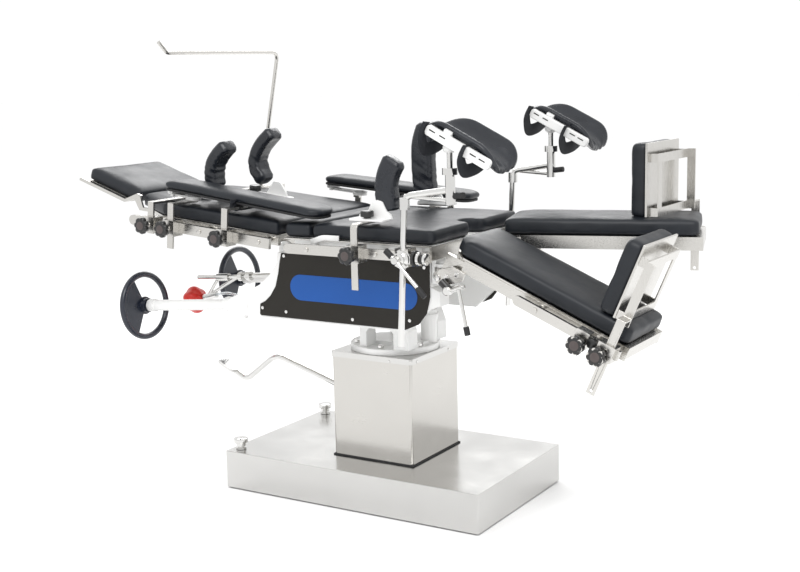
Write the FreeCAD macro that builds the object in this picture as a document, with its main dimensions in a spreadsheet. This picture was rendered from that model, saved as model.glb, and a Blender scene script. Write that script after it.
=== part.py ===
import FreeCAD, Part
import math
import os
import re
import Sketcher

# Manual hydraulic operating table, in millimetres.
# The origin is on the floor under the lifting column. +X points to the foot end,
# +Z points up, and the side called near is the one at -Y.

SIZES = {
    # base and column
    "base_length": 805.0, "base_width": 485.0, "base_shift": -19.0, "base_top": 108.7,
    "sheet_wall": 2.0, "skirt_gap": 4.0, "foot_height": 12.0, "foot_radius": 30.0,
    "ballast_inset": 30.0, "ballast_thick": 40.0, "pedestal_side": 290.0, "boss_radius": 26.0,
    "column_length": 252.0, "column_width": 254.0, "column_top": 399.5, "gasket_thick": 4.0,
    "cap_thick": 3.0, "cap_lip": 12.0, "cap_screw_radius": 4.0, "cap_screw_offset": 62.0,
    "ram_radius": 65.0, "ram_wall": 9.0, "cylinder_radius": 50.0, "cylinder_bore": 40.0,
    "slide_gap": 0.4, "piston_radius": 25.0, "lock_knob_inset": 29.5, "lock_knob_y": 208.0,
    "cover_corner": 4.0, "cover_rim": 2.0,
    "lock_knob_radius": 20.0, "lock_stem_radius": 8.0, "lock_knob_rise": 34.0,
    # foot pump
    "pedal_y": 40.0, "pedal_pivot_x": -95.0, "pedal_pivot_z": 206.0, "pedal_rod_radius": 8.0,
    "pump_pin_radius": 6.0,
    # lifting head
    "lift_gap": 0.5, "flange_radius": 123.5, "flange_thick": 16.0, "flange_bolt_circle": 105.0,
    "bolt_radius": 9.0, "bolt_head": 8.0, "trunnion_x": 20.0, "trunnion_z": 592.0,
    "trunnion_radius": 15.0, "cheek_inner": 55.0, "cheek_thick": 48.0, "cheek_boss": 44.0,
    "post_x": 92.0, "post_y": 28.0, "post_radius": 23.0, "post_height": 92.0,
    # tilting cradle and roll shaft
    "roll_z": 648.0, "roll_radius": 18.0, "cradle_gap": 1.0, "cradle_half": 44.0,
    # chassis
    "panel_y": 198.0, "panel_thick": 4.0, "casting_thick": 46.0, "panel_top": 677.0,
    "panel_bottom": 500.0, "panel_foot_x": 231.0, "panel_corner": 74.0,
    "panel_screw_radius": 5.0, "panel_screw_height": 2.5,
    "label_head_x": -203.0, "label_length": 398.0, "label_height": 70.0, "label_z": 587.0,
    "label_thick": 0.6, "wheel_y": 180.0, "tube_radius": 15.5, "tube_slope": 5.0,
    "tube_root_x": -424.0, "tube_root_z": 517.0, "wheel_near_x": -754.0, "wheel_far_x": -684.0,
    "far_tube_rise": 25.0, "wheel_radius": 100.0, "wheel_rim": 8.5, "hub_radius": 17.0,
    "axle_radius": 9.0,
    # table top
    "top_z": 727.0, "cushion_thick": 38.0, "top_half": 240.0, "seat_foot_x": 264.0,
    "seat_head_x": -103.0, "kidney_head_x": -190.0, "cushion_gap": 2.0, "frame_plate": 8.0,
    "beam_bottom": 677.0, "rail_y": 270.0, "rail_thick": 10.0, "rail_height": 26.0,
    "rail_bottom": 691.0, "spacer_radius": 8.0,
    # back section, raised about the line where its cushion meets the kidney cushion
    "back_x": -193.5, "back_z": 765.0, "back_raise": 5.2, "back_length": 573.0,
    "back_taper_at": 420.0, "back_thick": 37.0,
    # head section
    "head_raise": 18.6, "head_length": 223.0, "head_pivot_depth": 12.0,
    "head_half": 154.0,
    # leg sections
    "leg_x": 266.0, "leg_y": 185.4, "leg_z": 650.0, "leg_reach": 9.5, "leg_outer": 40.6,
    "leg_width": 222.0, "leg_length": 504.0, "leg_rise": 77.0, "leg_thick": 42.0,
    "near_drop": 23.2, "near_splay": 0.0, "far_drop": 0.0, "far_splay": 16.5,
    "foot_plate_at": 412.0, "foot_plate_height": 194.0, "foot_pad_thick": 40.0,
    "strip_wide": 22.0, "strip_thick": 4.0,
    # accessories
    "bar_y": 292.0, "bar_wide": 20.0, "bar_thick": 6.0, "knob_radius": 22.0, "knob_thick": 16.0,
    "clamp_long": 38.0, "clamp_high": 44.0, "board_length": 492.0, "board_width": 110.0,
    "board_thick": 34.0, "pole_radius": 8.0, "pole_x": 213.0, "pole_y": 300.0,
    "rod_radius": 6.0,
}

doc = FreeCAD.newDocument("operating_table")
sheet = doc.addObject("Spreadsheet::Sheet", "Sizes")
for row, (alias, value) in enumerate(SIZES.items(), start=1):
    sheet.set(f"A{row}", alias)
    sheet.set(f"B{row}", str(value))
    sheet.setAlias(f"B{row}", alias)
doc.recompute()


class Size:
    """A length that remembers the sheet formula it comes from."""

    def __init__(self, value, text):
        self.value = value
        self.text = text

    def joined(self, other, sign, value):
        return Size(value, f"({self.text} {sign} {other.text})")

    def __add__(self, other):
        other = size(other)
        return self.joined(other, "+", self.value + other.value)

    def __sub__(self, other):
        other = size(other)
        return self.joined(other, "-", self.value - other.value)

    def __mul__(self, other):
        other = size(other)
        return self.joined(other, "*", self.value * other.value)

    def __truediv__(self, other):
        other = size(other)
        return self.joined(other, "/", self.value / other.value)

    def __radd__(self, other):
        return size(other) + self

    def __rsub__(self, other):
        return size(other) - self

    def __rmul__(self, other):
        return size(other) * self

    def __neg__(self):
        return size(0) - self


def size(number):
    """Turns a plain number into a Size and leaves a Size as it is."""
    if isinstance(number, Size):
        return number
    return Size(float(number), f"({float(number)})")


class Sheet:
    """Gives each cell of the sheet as a Size."""

    def __getattr__(self, alias):
        return Size(float(sheet.get(alias)), f"Sizes.{alias}")


d = Sheet()
V = FreeCAD.Vector
Rotation = FreeCAD.Rotation
Placement = FreeCAD.Placement
AXES = {"x": V(1, 0, 0), "y": V(0, 1, 0), "z": V(0, 0, 1)}
TURN = {"x": Rotation(V(0, 1, 0), 90), "y": Rotation(V(1, 0, 0), -90), "z": Rotation()}
parts = []
GAP = 0.3
SCREEN_LEAN = Rotation(V(0, 1, 0), 6.5)


# Building blocks

def bind(item, name, length):
    item.setExpression(name, size(length).text)


def move_to(item, x, y, z):
    for axis, length in zip("xyz", (x, y, z)):
        bind(item, f"Placement.Base.{axis}", length)


def box(x0, x1, y0, y1, z0, z1):
    item = doc.addObject("Part::Box", "block")
    for name, low, high in (("Length", x0, x1), ("Width", y0, y1), ("Height", z0, z1)):
        bind(item, name, size(high) - low)
    move_to(item, x0, y0, z0)
    return item


def rod(axis, start, end, a, b, radius):
    """A cylinder along an axis, from start to end, with its other two coordinates a and b."""
    item = doc.addObject("Part::Cylinder", "round")
    item.Placement = Placement(V(), TURN[axis])
    bind(item, "Radius", radius)
    bind(item, "Height", size(end) - start)
    places = {"x": (start, a, b), "y": (a, start, b), "z": (a, b, start)}
    move_to(item, *places[axis])
    return item


def cone(axis, start, end, a, b, radius, end_radius):
    item = doc.addObject("Part::Cone", "taper")
    item.Placement = Placement(V(), TURN[axis])
    bind(item, "Radius1", radius)
    bind(item, "Radius2", end_radius)
    bind(item, "Height", size(end) - start)
    places = {"x": (start, a, b), "y": (a, start, b), "z": (a, b, start)}
    move_to(item, *places[axis])
    return item


def ball(x, y, z, radius):
    item = doc.addObject("Part::Sphere", "ball")
    bind(item, "Radius", radius)
    move_to(item, x, y, z)
    return item


def fuse(items):
    item = doc.addObject("Part::MultiFuse", "joined")
    item.Shapes = items
    return item


def group(items):
    item = doc.addObject("Part::Compound", "set")
    item.Links = items
    return item


def cut(base, tools):
    item = doc.addObject("Part::Cut", "cut")
    item.Base = base
    item.Tool = tools[0] if len(tools) == 1 else fuse(tools)
    return item


def mirror(source, normal="y"):
    item = doc.addObject("Part::Mirroring", "mirrored")
    item.Source = source
    item.Normal = AXES[normal]
    return item


def both(source):
    """The piece and its copy on the other side of the table."""
    return [source, mirror(source)]


def shifted(source, x=0, y=0, z=0, turn=None):
    """A copy of a piece at another place."""
    item = doc.addObject("Part::Compound", "copy")
    item.Links = [source]
    item.Placement = Placement(V(), turn or Rotation())
    move_to(item, x, y, z)
    return item


def origin_plane(body, role):
    return [item for item in body.Origin.OriginFeatures if item.Role == role][0]


def draw_outline(sketch, points):
    points = [(size(a), size(b)) for a, b in points]
    first = sketch.GeometryCount
    count = len(points)
    for index, (a, b) in enumerate(points):
        c, e = points[(index + 1) % count]
        sketch.addGeometry(Part.LineSegment(V(a.value, b.value, 0), V(c.value, e.value, 0)))
    for index in range(count):
        after = first + (index + 1) % count
        sketch.addConstraint(Sketcher.Constraint("Coincident", first + index, 2, after, 1))
    for index, point in enumerate(points):
        for kind, length in zip(("DistanceX", "DistanceY"), point):
            rule = Sketcher.Constraint(kind, -1, 1, first + index, 1, length.value)
            place = sketch.addConstraint(rule)
            sketch.setExpression(f"Constraints[{place}]", length.text)


def draw_circle(sketch, a, b, radius):
    a, b, radius = size(a), size(b), size(radius)
    ring = sketch.addGeometry(Part.Circle(V(a.value, b.value, 0), V(0, 0, 1), radius.value))
    rules = (
        (Sketcher.Constraint("Radius", ring, radius.value), radius),
        (Sketcher.Constraint("DistanceX", -1, 1, ring, 3, a.value), a),
        (Sketcher.Constraint("DistanceY", -1, 1, ring, 3, b.value), b),
    )
    for rule, length in rules:
        place = sketch.addConstraint(rule)
        sketch.setExpression(f"Constraints[{place}]", length.text)


def new_sketch(body, role):
    sketch = body.newObject("Sketcher::SketchObject", "outline")
    sketch.AttachmentSupport = [(origin_plane(body, role), "")]
    sketch.MapMode = "FlatFace"
    return sketch


def plate(role, points, start, thick, holes=()):
    """A flat plate with this outline. It grows from start along +Z, +X or -Y."""
    body = doc.addObject("PartDesign::Body", "plate")
    sketch = new_sketch(body, role)
    draw_outline(sketch, points)
    for hole in holes:
        draw_circle(sketch, *hole)
    pad = body.newObject("PartDesign::Pad", "pad")
    pad.Profile = sketch
    bind(pad, "Length", thick)
    axis = {"XY_Plane": "z", "XZ_Plane": "y", "YZ_Plane": "x"}[role]
    bind(body, f"Placement.Base.{axis}", start)
    return body


def rounded(item, edges, radius):
    """Rounds the edges that the test picks."""
    doc.recompute()
    fillet = doc.addObject("Part::Fillet", "rounded")
    fillet.Base = item
    picked = [i for i, edge in enumerate(item.Shape.Edges, 1) if edges(edge)]
    fillet.Edges = [(i, size(radius).value, size(radius).value) for i in picked]
    return fillet


def along(axis):
    """Picks straight edges that run along an axis."""
    def test(edge):
        if edge.Curve.TypeId != "Part::GeomLine":
            return False
        ends = edge.Vertexes[-1].Point - edge.Vertexes[0].Point
        return ends.Length > 1e-6 and abs(ends.normalize().dot(AXES[axis])) > 0.999
    return test


def arc_path(points, radii):
    """A path of straight runs joined by tangent arcs."""
    edges = []
    at = points[0]
    for index, radius in enumerate(radii, start=1):
        before, corner, after = points[index - 1:index + 2]
        into = (before - corner).normalize()
        out = (after - corner).normalize()
        half = into.getAngle(out) / 2
        reach = radius / math.tan(half)
        start = corner + into * reach
        end = corner + out * reach
        middle = (into + out).normalize()
        top = corner + middle * (radius / math.sin(half) - radius)
        edges.append(Part.LineSegment(at, start).toShape())
        edges.append(Part.Arc(start, top, end).toShape())
        at = end
    edges.append(Part.LineSegment(at, points[-1]).toShape())
    return Part.Wire(edges)


def bent_rod(points, radii, radius):
    """A round bar bent along a path."""
    points = [V(*[size(value).value for value in point]) for point in points]
    path = arc_path(points, [size(value).value for value in radii])
    radius = size(radius).value
    ring = Part.Wire(Part.Circle(points[0], points[1] - points[0], radius).toShape())
    item = doc.addObject("Part::Feature", "bent")
    item.Shape = path.makePipeShell([ring], True, False)
    return item


def keep(label, item, frame=None):
    """Files a finished piece under its name."""
    if frame is not None:
        if item.ExpressionEngine:
            item = group([item])
        item.Placement = frame.multiply(item.Placement)
    item.Label = label
    parts.append(item)
    return item


def star_knob(x, y, z, side=-1):
    """A six-lobed knob on a stub, with its axis along Y and its face on the given side."""
    face = d.knob_thick * side
    start, end = (face, size(0)) if side < 0 else (size(0), face)
    pieces = [rod("y", start, end, 0, 0, d.knob_radius * 0.78)]
    for step in range(6):
        angle = math.radians(60 * step)
        lobe_x = d.knob_radius * 0.75 * math.cos(angle)
        lobe_z = d.knob_radius * 0.75 * math.sin(angle)
        pieces.append(rod("y", start, end, lobe_x, lobe_z, d.knob_radius * 0.25))
    hub = (0, d.knob_thick * 0.5) if side < 0 else (d.knob_thick * -0.5, 0)
    pieces.append(rod("y", hub[0], hub[1], 0, 0, d.knob_radius * 0.5))
    return shifted(fuse(pieces), x, y, z)


# Base and column

def lock_knob_place():
    """The locks' place along the base, kept at one distance from its head end."""
    return d.base_shift - d.base_length / 2 + d.lock_knob_inset


def base_cover():
    x0 = d.base_shift - d.base_length / 2
    x1 = d.base_shift + d.base_length / 2
    half = d.base_width / 2
    outer = rounded(box(x0, x1, -half, half, d.skirt_gap, d.base_top), along("z"),
                    d.cover_corner)
    shell = rounded(outer, lambda e: e.BoundBox.ZMin > d.base_top.value - 0.01, d.cover_rim)
    wall = d.sheet_wall
    hollow = box(x0 + wall, x1 - wall, wall - half, half - wall, -1, d.base_top - wall)
    holes = [hollow, rod("z", 0, d.base_top + 1, 0, 0, d.ram_radius + 12)]
    opening = box(-118, 118, -118, 118, 0, d.base_top + 1)
    for side in (-1, 1):
        holes.append(rod("z", 0, d.base_top + 1, lock_knob_place(), side * d.lock_knob_y,
                         d.lock_stem_radius + 1))
    keep("base_cover", cut(shell, holes + [opening]))


def base_plate():
    inset = d.ballast_inset
    x0 = d.base_shift - d.base_length / 2 + inset
    x1 = d.base_shift + d.base_length / 2 - inset
    half = d.base_width / 2 - inset
    half_side = d.pedestal_side / 2
    top = d.base_top - d.sheet_wall
    slab = box(x0, x1, -half, half, 0, d.ballast_thick)
    pedestal = box(-half_side, half_side, half_side * -1, half_side, d.ballast_thick, top)
    pieces = [slab, pedestal]
    for side in (-1, 1):
        pieces.append(rod("z", 0, top, lock_knob_place(), side * d.lock_knob_y, 18))
        rib = (x0 + 20, -half_side, side * 80 - 7, side * 80 + 7)
        pieces.append(box(rib[0], rib[1], rib[2], rib[3], d.ballast_thick, top - 20))
        pieces.append(box(half_side, x1 - 20, side * 80 - 7, side * 80 + 7,
                          d.ballast_thick, top - 20))
    well = rod("z", d.ballast_thick, top + 1, 0, 0, d.ram_radius + 6)
    keep("base_plate", cut(fuse(pieces), [well]))


def column_cover():
    half_x, half_y = d.column_length / 2, d.column_width / 2
    wall = d.sheet_wall
    foot = d.base_top + d.gasket_thick
    outer = rounded(box(-half_x, half_x, -half_y, half_y, foot, d.column_top), along("z"), 6)
    seal = box(1.5 - half_x, half_x - 1.5, 1.5 - half_y, half_y - 1.5, d.base_top, foot)
    hollow = box(wall - half_x, half_x - wall, wall - half_y, half_y - wall,
                 d.base_top - 1, d.column_top + 1)
    reach = d.pedal_rod_radius + 4
    slot = box(-half_x - 1, 4 - half_x, d.pedal_y - reach, d.pedal_y + reach,
               d.pedal_pivot_z - 30, d.pedal_pivot_z + 34)
    keep("column_cover", cut(fuse([outer, seal]), [hollow, slot]))


def column_cap():
    half_x = d.column_length / 2 + d.cap_thick
    half_y = d.column_width / 2 + d.cap_thick
    top = d.column_top + d.cap_thick
    low = d.column_top - d.cap_lip
    outer = rounded(box(-half_x, half_x, -half_y, half_y, low, top), along("z"), 8)
    inner = rounded(box(-d.column_length / 2, d.column_length / 2, -d.column_width / 2,
                        d.column_width / 2, low - 1, d.column_top), along("z"), 6)
    hole = rod("z", low, top + 1, 0, 0, d.ram_radius + d.slide_gap)
    keep("column_cap", cut(outer, [inner, hole]))


def hydraulic_cylinder():
    top = d.column_top - 22
    barrel = rod("z", d.ballast_thick, top, 0, 0, d.ram_radius - d.ram_wall - d.slide_gap)
    bore = rod("z", d.ballast_thick + 40, top + 1, 0, 0, d.cylinder_bore)
    keep("hydraulic_cylinder", cut(barrel, [bore]))


def pump_block():
    x, y, z = d.pedal_pivot_x, d.pedal_y, d.pedal_pivot_z
    foot = d.base_top - d.sheet_wall
    half = d.column_length / 2 - d.sheet_wall - 8
    body = box(-half, -d.ram_radius - 8, y - 26, y + 26, foot, z - 34)
    neck = rod("z", z - 34, z - 20, x, y, 14)
    ears = []
    for side in (-1, 1):
        ear = box(x - 12, x + 12, y + side * 18 - 4, y + side * 18 + 4, z - 34, z)
        ears += [ear, rod("y", y + side * 18 - 4, y + side * 18 + 4, x, z, 12)]
    pin = rod("y", y - 24, y + 24, x, z, d.pump_pin_radius)
    keep("pump_block", fuse([body, neck, pin] + ears))


def pump_pedal():
    x, y, z = d.pedal_pivot_x, d.pedal_y, d.pedal_pivot_z
    points = [(x, y, z), (-242, y, 264), (-446, y, 325), (-560, y, 236), (-612, y, 262)]
    arm = bent_rod(points, (300, 60, 34), d.pedal_rod_radius)
    hub = rod("y", y - 13, y + 13, x, z, 15)
    hole = rod("y", y - 14, y + 14, x, z, d.pump_pin_radius + 0.3)
    pad = box(-35, 35, -25, 25, -5, 5)
    pad = rounded(pad, along("z"), 22)
    pad = shifted(pad, -628, y, 277, Rotation(V(0, 1, 0), 28))
    keep("pump_pedal", cut(fuse([arm, hub, pad]), [hole]))


def lock_knob(label, side):
    x, y = lock_knob_place(), side * d.lock_knob_y
    foot = d.base_top + 1
    r = d.lock_knob_radius
    stem = rod("z", d.base_top - d.sheet_wall + GAP, foot + 8, x, y, d.lock_stem_radius)
    collar = rod("z", foot, foot + 5, x, y, 15)
    skirt = cone("z", foot + 8, foot + 16, x, y, 11, r)
    cap = rod("z", foot + 16, d.base_top + d.lock_knob_rise - 8, x, y, r)
    dome = cone("z", d.base_top + d.lock_knob_rise - 8, d.base_top + d.lock_knob_rise,
                x, y, r, r - 8)
    keep(label, fuse([stem, collar, skirt, cap, dome]))


# Lifting head

def lift_ram():
    low = d.ballast_thick + 4
    top = d.column_top + d.cap_thick + d.lift_gap
    tube = rod("z", low, top, 0, 0, d.ram_radius)
    inside = rod("z", low - 1, top - 18, 0, 0, d.ram_radius - d.ram_wall)
    keep("lift_ram", cut(tube, [inside]))


def flange_plate():
    low = d.column_top + d.cap_thick + d.lift_gap
    disc = rod("z", low, low + d.flange_thick, 0, 0, d.flange_radius)
    disc = rounded(disc, lambda e: e.BoundBox.ZMin > (low + d.flange_thick).value - 0.01, 2)
    keep("flange_plate", disc)


def flange_bolts():
    low = d.column_top + d.cap_thick + d.lift_gap + d.flange_thick
    bolts = []
    for step in range(6):
        angle = math.radians(-80 + 60 * step)
        bolt = doc.addObject("Part::Prism", "hex")
        bolt.Polygon = 6
        bind(bolt, "Circumradius", d.bolt_radius)
        bind(bolt, "Height", d.bolt_head)
        move_to(bolt, d.flange_bolt_circle * math.cos(angle),
                d.flange_bolt_circle * math.sin(angle), low)
        bolts.append(bolt)
    keep("flange_bolts", group(bolts))


def column_head():
    low = d.column_top + d.cap_thick + d.lift_gap + d.flange_thick
    x, z = d.trunnion_x, d.trunnion_z
    r = d.cheek_boss
    a = r * 0.94
    points = [(-50, low), (-28, low), (-28, low + 42), (-6, low + 66), (30, low + 66),
              (58, low + 42), (58, low), (104, low), (104, low + 50), (x + a, z - 16),
              (x + r * 0.5, z + r * 0.5), (x - r * 0.5, z + r * 0.5), (x - a, z - 16),
              (-50, low + 60)]
    cheek = plate("XZ_Plane", points, -d.cheek_inner, d.cheek_thick)
    boss = rod("y", -d.cheek_inner - d.cheek_thick, -d.cheek_inner, x, z, r)
    hole = rod("y", -d.cheek_inner - d.cheek_thick - 1, 1 - d.cheek_inner, x, z, d.trunnion_radius)
    near = cut(fuse([cheek, boss]), [hole])
    foot = box(-50, 104, -d.cheek_inner, d.cheek_inner, low, low + 8)
    post = rod("z", low, low + d.post_height, d.post_x, d.post_y, d.post_radius)
    collar = rod("z", low + d.post_height - 26, low + d.post_height - 12, d.post_x, d.post_y,
                 d.post_radius + 3)
    faces = []
    for step in range(6):
        angle = math.radians(-80 + 60 * step)
        faces.append(rod("z", low - 1, low + 16, d.flange_bolt_circle * math.cos(angle),
                         d.flange_bolt_circle * math.sin(angle), d.bolt_radius + 3))
    keep("column_head", cut(fuse(both(near) + [foot, post, collar]), faces))


def trunnion_pin():
    reach = d.cheek_inner + d.cheek_thick
    pin = rod("y", -reach, reach, d.trunnion_x, d.trunnion_z, d.trunnion_radius)
    caps = [rod("y", -reach - 6, -reach, d.trunnion_x, d.trunnion_z, d.trunnion_radius + 9),
            rod("y", reach, reach + 6, d.trunnion_x, d.trunnion_z, d.trunnion_radius + 9)]
    keep("trunnion_pin", fuse([pin] + caps))


def tilt_cradle():
    x, z, roll = d.trunnion_x, d.trunnion_z, d.roll_z
    half = d.cradle_half
    block = box(x - 45, x + 45, -half, half, z - 30, roll)
    saddle = rod("x", x - 45, x + 45, 0, roll, d.roll_radius + 12)
    boss = rod("y", d.cradle_gap - d.cheek_inner, d.cheek_inner - d.cradle_gap, x, z, 30)
    pin_hole = rod("y", -d.cheek_inner, d.cheek_inner, x, z, d.trunnion_radius + GAP)
    shaft_hole = rod("x", x - 46, x + 46, 0, roll, d.roll_radius + GAP)
    keep("tilt_cradle", cut(fuse([block, saddle, boss]), [pin_hole, shaft_hole]))


# Chassis

def seat_frame():
    under = d.top_z - d.frame_plate
    x0, x1 = d.kidney_head_x + 2, d.seat_foot_x - 4
    half = d.top_half - 15
    top = plate("XY_Plane", [(x0, -half), (x1, -half), (x1, -34), (x1 - 50, -26), (x1 - 50, 26),
                             (x1, 34), (x1, half), (x0, half)], under, d.frame_plate)
    beam = box(x0, x1 - 12, d.wheel_y - 25, d.wheel_y + 15, d.beam_bottom, under)
    side = box(x0 + 30, x1 - 34, half - 12, half, under - 24, under)
    pieces = [top] + both(beam) + both(side)
    shaft = rod("x", -70, 110, 0, d.roll_z, d.roll_radius)
    pieces.append(shaft)
    for start in (-85, 110):
        low = d.roll_z - 24
        points = [(-60, low), (60, low), (60, d.beam_bottom), (d.wheel_y - 25, d.beam_bottom),
                  (d.wheel_y - 25, under), (25 - d.wheel_y, under),
                  (25 - d.wheel_y, d.beam_bottom), (-60, d.beam_bottom)]
        pieces.append(plate("YZ_Plane", points, start, 15))
    pieces += both(leg_lug())
    keep("seat_frame", fuse(pieces))


def leg_lug():
    """The fork at the foot end of the seat that carries a leg's upright pin."""
    x, y, z = d.leg_x, d.leg_y, d.leg_z
    tongues = []
    for low in (z - 26, z + 18):
        tongues += [box(x - 31, x, y - 9, y + 9, low, low + 8),
                    rod("z", low, low + 8, x, y, 20)]
    drop = box(x - 31, x - 23, y - 9, y + 9, z - 26, d.beam_bottom + 10)
    pin = rod("z", z - 26, z + 26, x, y, 9)
    return fuse(tongues + [drop, pin])


def panel_outline():
    """The side panel's outline, seen from the near side."""
    top, low = d.panel_top, d.panel_bottom
    corner = d.panel_corner
    x1 = d.panel_foot_x
    return [(-230, top), (-236, top - 22), (-243, top - 58), (-253, top - 92),
            (-271, top - 119), (-290, top - 136), (-308, top - 145), (-310, top - 173),
            (-306, low), (x1 - corner, low), (x1 - 34, low + 17), (x1 - 10, low + 48),
            (x1, low + 90), (x1, top)]


def side_castings():
    top, low = d.panel_top, d.panel_bottom - 6
    x1 = d.panel_foot_x + 28
    face = -d.panel_y
    web = [(-245, top), (-252, top - 34), (-276, top - 64), (-309, top - 92), (-359, top - 117),
           (-405, top - 133), (-424, top - 145), (-424, low + 8), (-416, low),
           (d.panel_foot_x - d.panel_corner, low), (d.panel_foot_x - 10, low + 60),
           (x1, low + 76), (x1, top - 72), (x1 - 26, top - 62), (x1 - 26, top)]
    near = plate("XZ_Plane", web, face + 18, 18)
    flange = plate("XZ_Plane", [(-245, top), (-252, top - 34), (-276, top - 64), (-270, top - 72),
                                (-200, top - 60), (-60, top - 40), (90, top - 60),
                                (160, top - 110), (x1, top - 110), (x1, top - 72),
                                (x1 - 26, top - 62), (x1 - 26, top)],
                   face + d.casting_thick, d.casting_thick)
    socket = rod("x", d.tube_root_x - 14, d.tube_root_x + 70, -d.wheel_y, d.tube_root_z, 22)
    foot = rod("z", low - 10, low, -375, face + 12, 8)
    roll_x = d.back_x + 108.3 * math.cos(math.radians(235))
    roll_z = d.back_z + 108.3 * math.sin(math.radians(235))
    inner = face + d.casting_thick
    cheek = plate("XZ_Plane", [(roll_x - 12, roll_z - 12), (-232, roll_z - 22), (-232, top),
                               (roll_x + 8, roll_z + 12), (roll_x - 10, roll_z + 12)],
                  inner + 7, 7)
    roller = rod("y", inner + 7, -126, roll_x, roll_z, 10)
    collar = rod("y", inner + 7, -142 - GAP, roll_x, roll_z, 24)
    boss = rod("y", -180, -154, -412, 518, 8)
    keep("side_castings",
         group(both(fuse([near, flange, socket, foot, cheek, roller, collar, boss]))))


def side_panels():
    skin = plate("XZ_Plane", panel_outline(), -d.panel_y, d.panel_thick)
    top, low = d.panel_top, d.panel_bottom
    screws = []
    for x, z in ((-220, top - 7), (-219, low + 17), (-299, low + 22), (-3, low + 14),
                 (172, low + 26), (218, top - 11)):
        face = -d.panel_y - d.panel_thick
        screws.append(rod("y", face - d.panel_screw_height, face, x, z, d.panel_screw_radius))
    keep("side_panels", group(both(fuse([skin] + screws))))


def panel_label():
    r = d.label_height / 2
    x0 = d.label_head_x + r
    x1 = d.label_head_x + d.label_length - r
    face = -d.panel_y - d.panel_thick
    back = face - d.label_thick
    bar = box(x0, x1, back, face, d.label_z - r, d.label_z + r)
    keep("panel_label", fuse([bar, rod("y", back, face, x0, d.label_z, r),
                              rod("y", back, face, x1, d.label_z, r)]))


def rail_profile(x0, x1, z0, height):
    """One rail with a rounded head end, and its spacers, on the near side."""
    y0 = -d.rail_y - d.rail_thick
    bar = box(x0 + height / 2, x1, y0, -d.rail_y, z0, z0 + height)
    nose = rod("y", y0, -d.rail_y, x0 + height / 2, z0 + height / 2, height / 2)
    return [bar, nose]


def rail_spacers(places, z, inner):
    pieces = []
    for x in places:
        pieces.append(rod("y", -d.rail_y, -inner, x, z, d.spacer_radius))
        pieces.append(rod("y", -d.rail_y - d.rail_thick - 3, -d.rail_y - d.rail_thick, x, z, 7))
    return pieces


def seat_rails():
    z = d.rail_bottom + d.rail_height / 2
    near = fuse(rail_profile(-163, 279, d.rail_bottom, d.rail_height)
                + rail_spacers((-91, 120, 241), z, d.top_half - 15))
    keep("seat_rails", group(both(near)))


def seat_cushion():
    x0, x1 = d.seat_head_x, d.seat_foot_x
    half = d.top_half
    points = [(x0, -half), (x1, -half), (x1, -34), (x1 - 40, -24), (x1 - 50, -10),
              (x1 - 50, 10), (x1 - 40, 24), (x1, 34), (x1, half), (x0, half)]
    cushion = plate("XY_Plane", points, d.top_z + GAP, d.cushion_thick - GAP)
    keep("seat_cushion", cushion)


def kidney_cushion():
    half = d.top_half
    keep("kidney_cushion", box(d.kidney_head_x, d.seat_head_x - d.cushion_gap, -half, half,
                               d.top_z + GAP, d.top_z + d.cushion_thick))


def wheel_frame(side):
    """The place of a handwheel's centre, with its axis along the sloping tube."""
    x = d.wheel_near_x.value if side < 0 else d.wheel_far_x.value
    rise = 0 if side < 0 else d.far_tube_rise.value
    run = d.tube_root_x.value - x
    z = d.tube_root_z.value + rise - run * math.tan(math.radians(d.tube_slope.value))
    return Placement(V(x, side * d.wheel_y.value, z), Rotation(V(0, 1, 0), -d.tube_slope.value))


def wheel_tubes():
    tubes = []
    for side in (-1, 1):
        frame = wheel_frame(side)
        x_start = d.wheel_near_x if side < 0 else d.wheel_far_x
        slope = math.radians(d.tube_slope.value)
        length = (d.tube_root_x - 22 - x_start) / math.cos(slope)
        tube = fuse([rod("x", 22, length, 0, 0, d.tube_radius),
                     rod("x", -16, 30, 0, 0, d.axle_radius),
                     rod("x", 22, 44, 0, 0, d.tube_radius + 3)])
        if side < 0:
            tubes.append(rod("x", d.tube_root_x - 22, d.tube_root_x - 14, -d.wheel_y,
                             d.tube_root_z, d.tube_radius + 4))
        else:
            root = box(d.tube_root_x - 22, d.tube_root_x - 14, d.wheel_y - 18, d.wheel_y + 18,
                       d.tube_root_z - 20, d.tube_root_z + d.far_tube_rise + 18)
            tubes.append(root)
        tube.Placement = frame
        tubes.append(tube)
    keep("wheel_tubes", group(tubes))


def handwheel(label, side):
    """A wheel with one solid sector and two open ones."""
    r, rim = d.wheel_radius, d.wheel_rim
    ring = doc.addObject("Part::Torus", "rim")
    ring.Placement = Placement(V(), TURN["x"])
    bind(ring, "Radius1", r - rim)
    bind(ring, "Radius2", rim)
    hub = rod("x", -14, 16, 0, 0, d.hub_radius + 4)
    disc = rod("x", -3, 3, 0, 0, r - rim)
    windows = []
    for start in (-28, 92):
        inner, outer = d.hub_radius + 9, r - rim * 2
        window = sector(inner, outer, start, start + 112, 10)
        windows.append(window)
    hole = rod("x", -20, 20, 0, 0, d.axle_radius + GAP)
    wheel = cut(fuse([ring, hub, cut(disc, windows)]), [hole])
    keep(label, wheel, wheel_frame(side))


def sector(inner, outer, start, end, half):
    """A piece of a ring about the X axis, between two angles in degrees."""
    big = doc.addObject("Part::Cylinder", "sector")
    big.Placement = Placement(V(), Rotation(V(0, 1, 0), 90).multiply(Rotation(V(0, 0, 1), start)))
    bind(big, "Radius", outer)
    bind(big, "Height", size(2 * half))
    big.Angle = end - start
    bind(big, "Placement.Base.x", -half)
    return cut(big, [rod("x", -half - 1, half + 1, 0, 0, inner)])


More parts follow.
